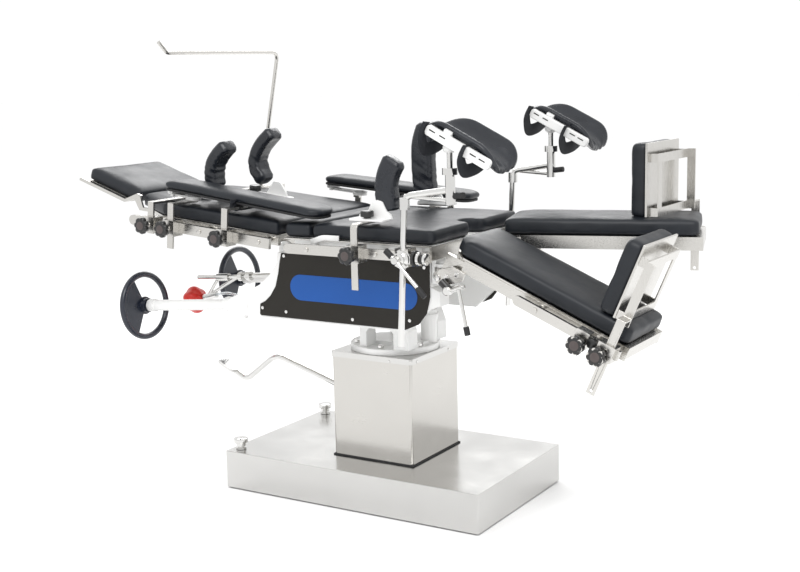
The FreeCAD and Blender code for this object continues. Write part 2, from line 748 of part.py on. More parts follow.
def control_linkage():
    y = -40
    pieces = []
    tube = bent_rod([(-664, y, 557), (-568, y, 563), (-386, y, 582)], (400,), 6)
    collar = shifted(rod("x", -22, 22, 0, 0, 11), -568, y, 563, Rotation(V(0, 1, 0), -4))
    pieces += [tube, collar]
    bend = bent_rod([(-386, y, 582), (-330, y, 588), (-330, y, 640)], (24,), 6)
    pieces.append(bend)
    for x, z in ((-470, 573), (-500, 570)):
        ring = shifted(rod("x", -7, 7, 0, 0, 13), x, y, z, Rotation(V(0, 1, 0), -6))
        pieces.append(ring)
    lean = Rotation(V(0, 1, 0), -15)
    pieces.append(shifted(rod("x", -24, 24, 0, 0, 10), -620, y, 503, lean))
    pieces.append(bent_rod([(-628, y, 503), (-608, y, 532), (-585, y, 562)], (80,), 5))
    pieces.append(bent_rod([(-622, y, 506), (-570, y, 537), (-512, y, 569)], (200,), 5))
    mount = box(-350, -310, y - 14, y + 14, 630, 652)
    arm = box(-330, -186, y - 14, y + 14, 640, 652)
    riser = box(-200, -186, y - 14, y + 14, 640, d.top_z - d.frame_plate)
    shaft = shifted(rod("x", -44, 0, 0, 0, 6), -620, y, 503, lean)
    keep("control_linkage", fuse(pieces + [mount, arm, riser, shaft]))


def red_knob():
    r, half = 24, 12
    pieces = [rod("x", -half, half, 0, 0, r)]
    for step in range(6):
        angle = math.radians(60 * step)
        pieces.append(rod("x", -half, half, r * math.cos(angle), r * math.sin(angle), 14))
    hub = rod("x", -half, half + 10, 0, 0, 14)
    hole = rod("x", -half + 4, half + 12, 0, 0, 6.3)
    knob = cut(fuse(pieces + [hub]), [hole])
    angle = 15
    reach = 50
    x = -620 - reach * math.cos(math.radians(angle))
    z = 503 - reach * math.sin(math.radians(angle))
    keep("red_knob", knob, Placement(V(x, -40, z), Rotation(V(0, 1, 0), -angle)))


# Back section

def back_frame_place():
    return Placement(V(d.back_x.value, 0, d.back_z.value),
                     Rotation(V(0, 1, 0), d.back_raise.value))


def top_outline(start, inset):
    half = d.top_half - inset
    end = d.head_half - inset
    return [(start, -half), (-d.back_taper_at, -half), (-d.back_length + inset, -end),
            (-d.back_length + inset, end), (-d.back_taper_at, half), (start, half)]


def back_cushion():
    thick = d.back_thick
    body = plate("XY_Plane", top_outline(-3, 0), -thick, thick)
    hinge_edge = plate("XZ_Plane", [(-3, -8), (2, -8), (2, -thick - 1), (-16, -thick - 1)],
                       d.top_half + 1, d.top_half * 2 + 2)
    depth = d.head_pivot_depth
    end = -d.back_length
    head_edge = plate("XZ_Plane", [(end - 1, -depth), (end, -depth),
                                   (end + thick - depth + 1, -thick - 1), (end - 1, -thick - 1)],
                      d.top_half + 1, d.top_half * 2 + 2)
    keep("back_cushion", cut(body, [hinge_edge, head_edge]), back_frame_place())


def back_sector():
    """The toothed crescent that the back is raised by, centred on the hinge line."""
    outer, inner = 98, 70
    edge = []
    steps = 22
    for step in range(steps + 1):
        angle = math.radians(213 + 93 * step / steps)
        r = outer if step % 2 else outer - 5
        edge.append((r * math.cos(angle), r * math.sin(angle)))
    for step in range(9):
        angle = math.radians(306 - 93 * step / 8)
        edge.append((inner * math.cos(angle), inner * math.sin(angle)))
    return plate("XZ_Plane", edge, -128, 14)


def back_frame():
    thick = d.back_thick
    board = plate("XY_Plane", top_outline(-22, 6)[:2] + [(-d.back_length + 38, 6 - d.head_half - 16),
                  (-d.back_length + 38, d.head_half + 10)] + top_outline(-22, 6)[4:],
                  -thick - GAP - 8, 8)
    low = -thick - GAP - 8
    side = box(-d.back_taper_at, -22, -225, -213, low - 22, low)
    beam = box(-d.back_length + 42, -22, -142, -128, low - 18, low)
    cross = box(-52, -38, -213, 213, low - 18, low)
    cross2 = box(-d.back_taper_at, 14 - d.back_taper_at, -213, 213, low - 18, low)
    keep("back_frame", fuse([board, cross, cross2] + both(side) + both(beam)
                            + both(back_sector()) + both(head_lug())), back_frame_place())


def head_lug():
    """The side lug on the back section that carries the head section's pin."""
    end = -d.back_length - 1
    low = -d.back_thick - GAP - 8
    z = -d.head_pivot_depth
    y = d.head_half
    top = low + 7.5
    arm = box(end + 30, end + 70, -y - 21, -y - 15, low - 2, top)
    link = plate("XZ_Plane", [(end + 70, low - 2), (end + 70, top), (end + 24, top),
                              (end + 10, z + 8), (end - 8, z + 8), (end - 8, z - 8),
                              (end + 10, low - 2)], -y - 15, 6)
    bridge = box(end + 40, end + 70, -y - 17, -128, low - 2, low)
    pin = rod("y", -y - 21, -y - 7, end, z, 6)
    return fuse([arm, link, bridge, pin])


def back_rails():
    z0 = -68
    near = fuse(rail_profile(-505, -12, z0, 28) + rail_spacers((-48, -250, -372), z0 + 14, 225))
    keep("back_rails", group(both(near)), back_frame_place())


def head_place():
    back = back_frame_place()
    pivot = back.multVec(V(-d.back_length.value - 1, 0, -d.head_pivot_depth.value))
    return Placement(pivot, Rotation(V(0, 1, 0), d.head_raise.value))


def head_cushion():
    top, low = d.head_pivot_depth, d.head_pivot_depth - d.back_thick
    half = d.head_half
    points = [(-2, 0), (-top, top), (-d.head_length, top), (-d.head_length, low), (low, low)]
    keep("head_cushion", plate("XZ_Plane", points, half, half * 2), head_place())


def head_frame():
    top = d.head_pivot_depth - d.back_thick - GAP
    half = d.head_half
    board = box(-d.head_length + 6, -44, 8 - half, half - 8, top - 6, top)
    bar = box(-d.head_length - 14, -50, -half - 14, -half - GAP, top - 8, top + 2)
    flange = box(-d.head_length - 14, -50, -half - 14, 12 - half, top - 8, top - 6)
    lever = plate("XZ_Plane", [(-50, top - 8), (-50, top + 2), (-9, 9), (9, 9), (9, -9), (-9, -9)],
                  -half - 7, 7)
    hole = rod("y", -half - 18, -half + 2, 0, 0, 6 + GAP)
    near = cut(fuse([bar, flange, lever]), [hole])
    keep("head_frame", fuse([board] + both(near)), head_place())


# Leg sections

def leg_place(side):
    drop, splay = (d.near_drop, d.near_splay) if side < 0 else (d.far_drop, d.far_splay)
    turn = Rotation(V(0, 0, 1), side * splay.value).multiply(Rotation(V(0, 1, 0), drop.value))
    return Placement(V(d.leg_x.value, side * d.leg_y.value, d.leg_z.value), turn)


def yoke_place(side):
    splay = d.near_splay if side < 0 else d.far_splay
    return Placement(V(d.leg_x.value, side * d.leg_y.value, d.leg_z.value),
                     Rotation(V(0, 0, 1), side * splay.value))


def leg_side(item, side):
    """Leg pieces are drawn for the far side; the near ones are their mirror image."""
    return item if side > 0 else mirror(item)


def leg_yoke(name, side):
    block = rod("z", -18 + GAP, 18 - GAP, 0, 0, 22)
    hole = rod("z", -20, 20, 0, 0, 9 + GAP)
    pins = [rod("y", 18, 38, 0, 0, 8), rod("y", -38, -18, 0, 0, 8)]
    keep("leg_yoke_" + name, leg_side(fuse([cut(block, [hole])] + pins), side), yoke_place(side))


def leg_cushion(name, side):
    a0, a1 = d.leg_reach, d.leg_reach + d.leg_length
    b1 = d.leg_outer
    b0 = d.leg_outer - d.leg_width
    points = [(a0, b0), (a0, b1 - 30), (a0 + 30, b1), (a1, b1), (a1, b0)]
    cushion = plate("XY_Plane", points, d.leg_rise, d.leg_thick)
    keep("leg_cushion_" + name, leg_side(cushion, side), leg_place(side))


def leg_frame(name, side):
    a0, a1 = d.leg_reach + 8, d.leg_reach + d.leg_length + 6
    b1 = d.leg_outer
    b0 = d.leg_outer - d.leg_width
    top = d.leg_rise - GAP
    board = plate("XY_Plane", [(a0, b0 + 4), (a0, b1 - 34), (a0 + 32, b1 - 2), (a1, b1 - 2),
                               (a1, b0 + 4)], top - 5, 5)
    outer = box(a0 + 40, a1, b1 - 8, b1, top - 34, top - 5)
    inner = box(a0 + 40, a1, b0 + 4, b0 + 12, top - 34, top - 5)
    cross = box(a0 + 40, a0 + 52, b0 + 12, b1 - 8, top - 30, top - 5)
    end = box(a1 - 12, a1, b0 + 12, b1 - 8, top - 30, top - 5)
    spine = box(a0 + 20, a1 - 12, -34, -24, top - 37, top - 5)
    spine2 = box(a0 + 20, a1 - 12, 20, 30, top - 37, top - 5)
    lugs = []
    for low in (-36, 24):
        ear = plate("XZ_Plane", [(4, -12), (16, -2), (26, top - 37), (60, top - 10),
                                 (4, top - 10), (4, 0)], low + 12, 12)
        lugs += [ear, rod("y", low, low + 12, 0, 0, 13)]
    holes = [rod("y", -40, 40, 0, 0, 8 + GAP)]
    rail = fuse([box(236, 514, 70, 80, 49, 73.6), rod("y", 70, 80, 236, 61.3, 12.3)]
                + [rod("y", b1, 70, x, 61.3, d.spacer_radius) for x in (285, 440)]
                + [rod("y", 80, 83, x, 61.3, 7) for x in (285, 440)])
    clamp = cut(box(462, 506, 62, 96, 40, 80), [box(461, 507, 69.7, 80.3, 48.7, 73.9),
                                                box(477.7, 500.3, 83.7, 88.3, 39, 81)])
    knobs = [mirror(star_knob(x, -102, 47)) for x in (419, 474.5)]
    knobs += [rod("y", 89, 100, x, 47, 7) for x in (419, 474.5)]
    knobs.append(cut(box(402, 436, 62, 92, 36, 80), [box(401, 437, 69.7, 80.3, 48.7, 73.9)]))
    pieces = [board, outer, inner, cross, end, spine, spine2, rail, clamp] + knobs
    frame = cut(fuse(pieces + lugs), holes)
    keep("leg_frame_" + name, leg_side(frame, side), leg_place(side))


def footplate_frame(name, side):
    b1 = d.leg_outer
    b0 = d.leg_outer - d.leg_width
    a = d.foot_plate_at + d.foot_pad_thick
    low = d.leg_rise + d.leg_thick + 0.5
    top = low + d.foot_plate_height
    board = box(a + GAP, a + 6, b0 + 3, b1 - 3, low + 4, top - 3)
    wide, thick = d.strip_wide, d.strip_thick
    back = a + 6
    near_bar = box(back + 20, back + 20 + wide, 84, 84 + thick, -50, low + 26)
    bend = box(back + 20, back + 20 + wide, 48, 84 + thick, low + 26 - thick, low + 26)
    upper = box(back + 20, back + 20 + wide, 48, 52, low + 4, top - 30)
    hole = rod("y", 80, 92, back + 31, -42, 4)
    loop = [bend, upper,
            box(back + 20, back + 20 + thick, b0 + 20, 52, top - 52, top - 30),
            box(back, back + 20 + thick, b0 + 16, b0 + 20, top - 52, top - 30),
            box(back + 20, back + 20 + thick, b0 + 20, b0 + 42, low + 4, top - 30),
            box(back + 20, back + 20 + thick, b0 + 20, 52, low + 4, low + 26),
            box(back, back + 20 + thick, b0 + 16, b0 + 20, low + 4, low + 26),
            box(back, back + 20, 30, 34, top - 52, top - 30),
            box(back, back + 20, 30, 34, low + 4, low + 26)]
    plate_frame = foot_swivel(fuse([board] + loop), side)
    frame = cut(fuse([near_bar, plate_frame]), [hole])
    keep("footplate_frame_" + name, leg_side(frame, side), foot_place(side))


def foot_swivel(item, side):
    """The far foot plate is turned about its own upright bar."""
    if side < 0:
        return item
    at = V(489, 86, 0)
    swing = Rotation(V(0, 0, 1), -18)
    away = at - swing.multVec(at)
    return shifted(item, away.x, away.y, 0, swing)


def foot_place(side):
    return leg_place(side)


def footplate_pad(name, side):
    b1 = d.leg_outer
    b0 = d.leg_outer - d.leg_width
    a = d.foot_plate_at
    low = d.leg_rise + d.leg_thick + 0.5
    points = [(b0, low), (b1, low), (b1, low + d.foot_plate_height - 14),
              (b1 - 14, low + d.foot_plate_height), (b0 + 14, low + d.foot_plate_height),
              (b0, low + d.foot_plate_height - 14)]
    pad = foot_swivel(plate("YZ_Plane", points, a, d.foot_pad_thick), side)
    keep("footplate_pad_" + name, leg_side(pad, side), foot_place(side))


# Accessories

def rail_clamp(x, z, side=-1, slotted=False):
    """A block that hooks over a rail and holds an upright bar in front of it."""
    half = d.clamp_long / 2
    high = d.clamp_high / 2
    y = d.rail_y
    block = box(x - half, x + half, -y - d.rail_thick - 24, 6 - y, z - high, z + high)
    slot = box(x - half - 1, x + half + 1, -y - d.rail_thick - GAP, GAP - y, z - 14, z + 14)
    gap = box(x - half - 1, x + half + 1, -y - 1, 7 - y, z - 11, z + 11)
    hollows = [slot, gap]
    if slotted:
        wide, thick, at = d.bar_wide / 2 + GAP, d.bar_thick / 2 + GAP, -d.bar_y
        hollows.append(box(x - wide, x + wide, at - thick, at + thick, z - high - 1, z + high + 1))
    stem = rod("y", -y - d.rail_thick - 34, -y - d.rail_thick - 24, x, z, 7)
    near = fuse([cut(block, hollows), stem])
    return near if side < 0 else mirror(near)


def clamp_knob(x, z, side=-1):
    near = star_knob(x, -d.rail_y - d.rail_thick - 34 - d.knob_thick * 0.5, z)
    return near if side < 0 else mirror(near)


def seat_clamps():
    z = d.rail_bottom + d.rail_height / 2
    clamps = [rail_clamp(68, z, -1, True), rail_clamp(18, z, 1, True)]
    for x, side in ((213, -1), (205, 1)):
        bore = rod("z", -60, 60, 0, 0, d.pole_radius + GAP)
        bore = shifted(bore, x + 2.3, side * d.pole_y, z, Rotation(V(0, 1, 0), 2.9))
        clamps.append(cut(rail_clamp(x, z, side), [bore]))
    keep("seat_clamps", group(clamps))


def seat_knobs():
    z = d.rail_bottom + d.rail_height / 2
    keep("seat_knobs", group([clamp_knob(68, z), clamp_knob(18, z, 1),
                              clamp_knob(213, z), clamp_knob(205, z, 1)]))


def upright_bar(x, low, top, reach, side=-1, y=None):
    """A flat bar through a clamp, bent inward at its top to the given half-width."""
    y = d.bar_y if y is None else y
    wide, thick = d.bar_wide / 2, d.bar_thick / 2
    stem = box(x - wide, x + wide, -y - thick, thick - y, low, top)
    arm = box(x - wide, x + wide, -y - thick, -size(reach), top - 6, top)
    near = fuse([stem, arm])
    return near if side < 0 else mirror(near)


def back_clamps():
    z = -54
    near = [rail_clamp(x, z) for x in (-412, -340, -152)]
    near.append(upright_bar(-340, -112, 14, 190))
    near.append(upright_bar(-152, -72, 24, 205))
    near.append(upright_bar(-412, -80, 9, 85))
    far = [rail_clamp(x, z, 1) for x in (-480, -400, -110)]
    far.append(upright_bar(-400, -80, 9, 85, 1))
    far.append(upright_bar(-110, -112, 8, 280, 1))
    socket = shifted(rod("z", -88, -28, 0, 0, 11), -480, d.bar_y, 0, SCREEN_LEAN)
    bore = shifted(rod("z", -95, 20, 0, 0, d.rod_radius + GAP), -480, d.bar_y, 0, SCREEN_LEAN)
    clamps = cut(fuse(near + far + [socket]), [bore])
    keep("back_clamps", clamps, back_frame_place())


def back_knobs():
    z = -54
    near = [clamp_knob(x, z) for x in (-412, -340, -152)]
    far = [clamp_knob(x, z, 1) for x in (-480, -400, -110)]
    keep("back_knobs", group(near + far), back_frame_place())


def shoulder_pads():
    """Two padded stops on the slotted feet, drawn on the far side."""
    foot = cut(box(-420, -330, 85, 115, 9, 13), [box(-385, -340, 96, 104, 8, 14)])
    upright = plate("XZ_Plane", [(-410, 13), (-390, 13), (-352, 92), (-370, 98)], 104, 8)
    profile = [(-374, 76), (-352, 72), (-330, 92), (-300, 128), (-252, 150), (-246, 168),
               (-290, 172), (-340, 156), (-366, 120)]
    pad = plate("XZ_Plane", profile, 142, 84)
    far = fuse([foot, upright, pad])
    keep("shoulder_pads", group([far, mirror(far)]), back_frame_place())


def arm_socket_place(side):
    x = -340 if side < 0 else -110
    y = -200 if side < 0 else 300
    return back_frame_place().multiply(Placement(V(x, y, 14 if side < 0 else 8), Rotation()))


def arm_socket(name, side):
    """A swivelling housing with an arm to the knuckle under the board's root."""
    reach = 61 if side < 0 else 95
    body = rod("z", GAP, 11, 0, 0, 22)
    arm = box(-reach + 4, 10, -14, 14, 5, 11)
    knuckle = rod("y", -22.5, 22.5, -reach, 17, 6)
    pin = rod("y", -31, 31, -reach, 17, 2.7)
    riser = box(-reach - 3, -reach + 6, -22, 22, 5, 17)
    cap = rod("z", 8, 13, 0, 0, 14)
    keep("arm_socket_" + name, fuse([body, arm, knuckle, pin, riser, cap]), arm_socket_place(side))


def board_place(side):
    reach = 61 if side < 0 else 95
    tilt = 1.8 if side < 0 else -0.6
    frame = Placement(V(-reach, 0, 17), Rotation(V(0, 1, 0), tilt))
    return arm_socket_place(side).multiply(frame)


def arm_board(name, side):
    length = 520 if side < 0 else 495
    half = d.board_width / 2
    low = 7
    board = box(-12, length, -half, half, low, low + 8)
    board = rounded(board, along("z"), 20)
    pad = rounded(box(-12, length, -half, half, low + 8, low + 26), along("z"), 20)
    ears = []
    for side_y in (-26, 26):
        low_y = side_y - 3
        ears += [box(-7, 7, low_y, low_y + 6, 0, low), rod("y", low_y, low_y + 6, 0, 0, 7)]
    holes = [rod("y", -30, 30, 0, 0, 3)]
    keep("arm_board_" + name, fuse([board, pad, cut(fuse(ears), holes)]), board_place(side))


def screen_rod():
    """The screen frame: a bar that rises from the far rail and crosses the table."""
    points = [(0, 0, -90), (0, 0, 416), (0, -505, 416), (-8, -535, 444)]
    bar = bent_rod(points, (26, 20), d.rod_radius)
    collar = rod("z", -28, -20, 0, 0, 11)
    keep("screen_rod", fuse([bar, collar]), screen_place())


def screen_place():
    return back_frame_place().multiply(Placement(V(-480, d.bar_y.value, 0), SCREEN_LEAN))


def body_brackets():
    near = upright_bar(68, 612, 780, 165)
    wedge = plate("XZ_Plane", [(16, 780), (120, 780), (112, 800), (92, 826), (64, 826), (50, 800)],
                  -186, 5)
    knob = rod("y", -191 - 16, -191, 59, 798, 15)
    far = upright_bar(18, 640, 774, 165, 1)
    wedge2 = plate("XZ_Plane", [(-32, 774), (69, 774), (60, 790), (40, 826), (0, 826), (-24, 790)],
                   191, 5)
    knob2 = rod("y", 191, 191 + 16, 10, 796, 15)
    keep("body_brackets", group([fuse([near, wedge, knob]), fuse([far, wedge2, knob2])]))


def body_pads():
    near = rounded(box(66, 148, -186 + GAP, -152, 796, 948), along("y"), 18)
    far = rounded(box(-27, 55, 152, 186 - GAP, 794, 1025), along("y"), 18)
    keep("body_pads", group([near, far]))


def crutch_poles():
    y = d.pole_y
    pieces = []
    for side, x, top in ((-1, 213, 855), (1, 205, 868)):
        lean_top = x + 10 if side < 0 else x + 11
        line = [(x - 9, side * y, 481), (lean_top, side * y, top), (x + 138, side * y, top + 20)]
        pole = bent_rod(line, (24,), d.pole_radius)
        sleeve = shifted(rod("z", -14, 14, 0, 0, 13), x + 10, side * y, top - 18)
        tube_x = 351 if side < 0 else 333
        tube = rod("z", top - 14, top + 56, tube_x, side * y, 12)
        collar = rod("z", top + 56, top + 72, tube_x, side * y, 19)
        neck = rod("z", top + 72, top + 108, tube_x, side * y, 7)
        pin = rod("z", top + 108, top + 122, tube_x, side * y, 4)
        pieces.append(fuse([pole, sleeve, tube, collar, neck, pin]))
    keep("crutch_poles", group(pieces))


def crutch_place(side):
    x, z = (351, 974.3) if side < 0 else (333, 987.3)
    return Placement(V(x, side * d.pole_y.value, z), Rotation())


def crutch_cradle(name, side):
    lean = Rotation(V(0, 1, 0), 27)
    knuckle = cut(ball(0, 0, 0, 17), [box(-20, 20, -20, 20, -20, -11),
                                      rod("z", -12, 5, 0, 0, 4 + GAP)])
    stem = bent_rod([(0, 0, 6), (0, -10, 24), (4, -24, 30)], (16,), 8)
    bar = shifted(box(-92, 92, -31, GAP - 15.6, -13, 13), 30, 0, 19, lean)
    keep("crutch_cradle_" + name, fuse([knuckle, stem, bar]), crutch_place(side))


def crutch_pad(name, side):
    lean = Rotation(V(0, 1, 0), 27)
    gutter = sector(68, 85, -62, 62, 104)
    pad = shifted(gutter, 56, 60, 65.6, lean)
    keep("crutch_pad_" + name, pad, crutch_place(side))


def control_hose():
    """The clear sheath between the control bush and the near casting."""
    points = [(-596.5, -40, 509.3), (-566, -40, 517), (-520, -60, 521), (-470, -87, 521),
              (-428, -112, 519), (-412, -134, 518), (-412, -154 + GAP, 518)]
    points = [V(*point) for point in points]
    radii = []
    for index in range(1, len(points) - 1):
        before = points[index] - points[index - 1]
        after = points[index + 1] - points[index]
        half = before.getAngle(after) / 2
        radii.append(0.45 * min(before.Length, after.Length) / math.tan(half))
    print("hose radii", [round(radius) for radius in radii])
    hose = doc.addObject("Part::Feature", "hose")
    ring = Part.Wire(Part.Circle(points[0], points[1] - points[0], 4).toShape())
    hose.Shape = arc_path(points, radii).makePipeShell([ring], True, False)
    keep("control_hose", hose)


BUILDERS = (
    base_cover, base_plate, column_cover, column_cap, hydraulic_cylinder, pump_block, pump_pedal,
    lambda: lock_knob("base_lock_knob_near", -1), lambda: lock_knob("base_lock_knob_far", 1),
    lift_ram, flange_plate, flange_bolts, column_head, trunnion_pin, tilt_cradle,
    seat_frame, side_castings, side_panels, panel_label, seat_rails, seat_cushion,
    kidney_cushion, wheel_tubes, lambda: handwheel("handwheel_near", -1),
    lambda: handwheel("handwheel_far", 1), control_linkage, red_knob,
    back_frame, back_cushion, back_rails, head_frame, head_cushion,
    lambda: leg_yoke("near", -1), lambda: leg_yoke("far", 1),
    lambda: leg_frame("near", -1), lambda: leg_frame("far", 1),
    lambda: leg_cushion("near", -1), lambda: leg_cushion("far", 1),
    lambda: footplate_frame("near", -1), lambda: footplate_frame("far", 1),
    lambda: footplate_pad("near", -1), lambda: footplate_pad("far", 1),
    back_clamps, back_knobs, seat_clamps, seat_knobs, shoulder_pads,
    lambda: arm_socket("near", -1), lambda: arm_socket("far", 1),
    lambda: arm_board("near", -1), lambda: arm_board("far", 1), screen_rod,
    body_brackets, body_pads, crutch_poles,
    lambda: crutch_cradle("near", -1), lambda: crutch_cradle("far", 1),
    lambda: crutch_pad("near", -1), lambda: crutch_pad("far", 1), control_hose,
)
for build in BUILDERS:
    build()
doc.recompute()

for item in doc.Objects:
    if "Invalid" in item.State or "Error" in item.State:
        raise RuntimeError(f"{item.Label} ({item.Name}) failed: {item.State}")
for item in parts:
    if item.Shape.isNull() or not item.Shape.isValid():
        raise RuntimeError(f"{item.Label} has no valid shape")
os.makedirs("parts", exist_ok=True)
for item in parts:
    item.Shape.exportStep(f"parts/{item.Label}.step")
    bounds = item.Shape.BoundBox
    print(f"{item.Label}: {len(item.Shape.Solids)} solids, volume {item.Shape.Volume:.0f},"
          f" x {bounds.XMin:.0f}..{bounds.XMax:.0f} y {bounds.YMin:.0f}..{bounds.YMax:.0f}"
          f" z {bounds.ZMin:.0f}..{bounds.ZMax:.0f}")
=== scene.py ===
"""The operating table's looks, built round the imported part. Lengths in the helpers are in mm."""
import math

import bmesh
import bpy
import numpy as np
from mathutils import Matrix, Vector, noise


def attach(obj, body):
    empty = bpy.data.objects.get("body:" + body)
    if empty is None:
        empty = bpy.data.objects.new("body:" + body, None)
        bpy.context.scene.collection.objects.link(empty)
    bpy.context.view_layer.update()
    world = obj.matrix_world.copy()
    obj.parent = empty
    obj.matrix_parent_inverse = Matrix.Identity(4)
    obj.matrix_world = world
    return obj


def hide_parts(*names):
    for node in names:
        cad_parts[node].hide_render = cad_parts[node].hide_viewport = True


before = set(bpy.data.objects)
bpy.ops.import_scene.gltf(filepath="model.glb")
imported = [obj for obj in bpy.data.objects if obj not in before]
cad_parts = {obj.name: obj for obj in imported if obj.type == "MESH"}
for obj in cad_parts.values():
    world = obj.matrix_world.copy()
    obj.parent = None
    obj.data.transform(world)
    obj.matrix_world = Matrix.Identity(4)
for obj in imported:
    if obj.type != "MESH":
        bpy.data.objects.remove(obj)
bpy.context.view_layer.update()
MM = 0.001


# Places

def shift(x, y, z):
    return Matrix.Translation((x * MM, y * MM, z * MM))


def turn(axis, degrees):
    return Matrix.Rotation(math.radians(degrees), 4, axis)


BACK = shift(-193.5, 0, 765) @ turn("Y", 5.2)
HEAD = BACK @ shift(-574, 0, -12) @ turn("Y", 13.4)
FLIP = Matrix.Scale(-1, 4, (0, 1, 0))
LEG = {
    "near": shift(266, -185.4, 650) @ turn("Y", 23.2) @ FLIP,
    "far": shift(266, 185.4, 650) @ turn("Z", 16.5),
}
SIDE = {"near": -1, "far": 1}


# Materials

def new_material(name, colour, rough, metallic=0.0, specular=0.5):
    material = bpy.data.materials.new(name)
    material.use_nodes = True
    shader = material.node_tree.nodes["Principled BSDF"]
    shader.inputs["Base Color"].default_value = (*colour, 1)
    shader.inputs["Roughness"].default_value = rough
    shader.inputs["Metallic"].default_value = metallic
    shader.inputs["Specular IOR Level"].default_value = specular
    return material, shader


def add_node(material, kind, **values):
    node = material.node_tree.nodes.new(kind)
    for key, value in values.items():
        if key in node.inputs:
            node.inputs[key].default_value = value
        else:
            setattr(node, key, value)
    return node


def join(material, a, b):
    material.node_tree.links.new(a, b)


def noise_field(material, scale, stretch=(1, 1, 1), detail=3.0, rough=0.5):
    place = add_node(material, "ShaderNodeTexCoord")
    mapping = add_node(material, "ShaderNodeMapping", Scale=stretch)
    field = add_node(material, "ShaderNodeTexNoise", Scale=scale, Detail=detail, Roughness=rough)
    join(material, place.outputs["Object"], mapping.inputs["Vector"])
    join(material, mapping.outputs["Vector"], field.inputs["Vector"])
    return field.outputs["Fac"]


def ramp(material, source, low, high, start=0.0, end=1.0):
    node = add_node(material, "ShaderNodeMapRange")
    node.inputs["From Min"].default_value = start
    node.inputs["From Max"].default_value = end
    node.inputs["To Min"].default_value = low
    node.inputs["To Max"].default_value = high
    join(material, source, node.inputs["Value"])
    return node.outputs["Result"]


def blend_colours(material, source, a, b):
    node = add_node(material, "ShaderNodeMix", data_type="RGBA")
    node.inputs["A"].default_value = (*a, 1)
    node.inputs["B"].default_value = (*b, 1)
    for socket in node.inputs:
        if socket.name == "A" and socket.type == "RGBA":
            socket.default_value = (*a, 1)
        if socket.name == "B" and socket.type == "RGBA":
            socket.default_value = (*b, 1)
    join(material, source, node.inputs["Factor"])
    return [s for s in node.outputs if s.type == "RGBA"][0]


def bump(material, source, strength, distance):
    node = add_node(material, "ShaderNodeBump", Strength=strength, Distance=distance * MM)
    join(material, source, node.inputs["Height"])
    return node.outputs["Normal"]


def metal(name, colour, rough, stretch, grain=0.08, scale=900, wobble=0.0):
    """Brushed or polished steel: long fine streaks in roughness and height, and faint smudges."""
    material, shader = new_material(name, colour, rough, 1.0)
    streak = noise_field(material, scale, stretch, 2.0)
    smudge = noise_field(material, 9, (1, 1, 1), 4.0)
    mixed = add_node(material, "ShaderNodeMath", operation="ADD")
    join(material, ramp(material, streak, -grain, grain, 0.3, 0.7), mixed.inputs[0])
    join(material, ramp(material, smudge, rough - 0.04, rough + 0.05, 0.35, 0.7), mixed.inputs[1])
    join(material, mixed.outputs[0], shader.inputs["Roughness"])
    dark = tuple(c * 0.88 for c in colour)
    join(material, blend_colours(material, smudge, dark, colour), shader.inputs["Base Color"])
    normal = bump(material, streak, 0.08, 0.05)
    join(material, normal, shader.inputs["Normal"])
    if wobble:
        wave = add_node(material, "ShaderNodeBump", Strength=wobble, Distance=0.004)
        join(material, noise_field(material, 5, (1, 1, 1), 1.0), wave.inputs["Height"])
        join(material, normal, wave.inputs["Normal"])
        join(material, wave.outputs["Normal"], shader.inputs["Normal"])
    return material


def leather(name, dark, light, rough, grain=650, depth=0.25, folds=0.0):
    """Coated leather: a fine pebble, slight colour drift and soft unevenness."""
    material, shader = new_material(name, dark, rough, 0.0, 0.5)
    pebble = add_node(material, "ShaderNodeTexVoronoi", Scale=grain)
    place = add_node(material, "ShaderNodeTexCoord")
    join(material, place.outputs["Object"], pebble.inputs["Vector"])
    drift = noise_field(material, 14, (1, 1, 1), 5.0, 0.6)
    join(material, blend_colours(material, ramp(material, drift, 0, 1, 0.3, 0.7), dark, light),
         shader.inputs["Base Color"])
    join(material, ramp(material, drift, rough - 0.05, rough + 0.07, 0.3, 0.7),
         shader.inputs["Roughness"])
    fine = bump(material, pebble.outputs["Distance"], 0.35, depth)
    broad = add_node(material, "ShaderNodeBump", Strength=0.3 + folds, Distance=0.0025)
    join(material, noise_field(material, 22, (1, 1, 1), 3.0), broad.inputs["Height"])
    join(material, fine, broad.inputs["Normal"])
    join(material, broad.outputs["Normal"], shader.inputs["Normal"])
    return material


def painted(name, colour, rough, speck=0.03, coat=0.0, scale=60):
    """Paint, enamel or moulded plastic: small drifts of colour and an orange-peel surface."""
    material, shader = new_material(name, colour, rough)
    shader.inputs["Coat Weight"].default_value = coat
    shader.inputs["Coat Roughness"].default_value = 0.12
    drift = noise_field(material, scale, (1, 1, 1), 4.0)
    low = tuple(max(0.0, c - speck) for c in colour)
    join(material, blend_colours(material, drift, low, colour), shader.inputs["Base Color"])
    join(material, ramp(material, drift, rough - 0.04, rough + 0.08, 0.3, 0.7),
         shader.inputs["Roughness"])
    join(material, bump(material, noise_field(material, scale * 18), 0.12, 0.15),
         shader.inputs["Normal"])
    return material


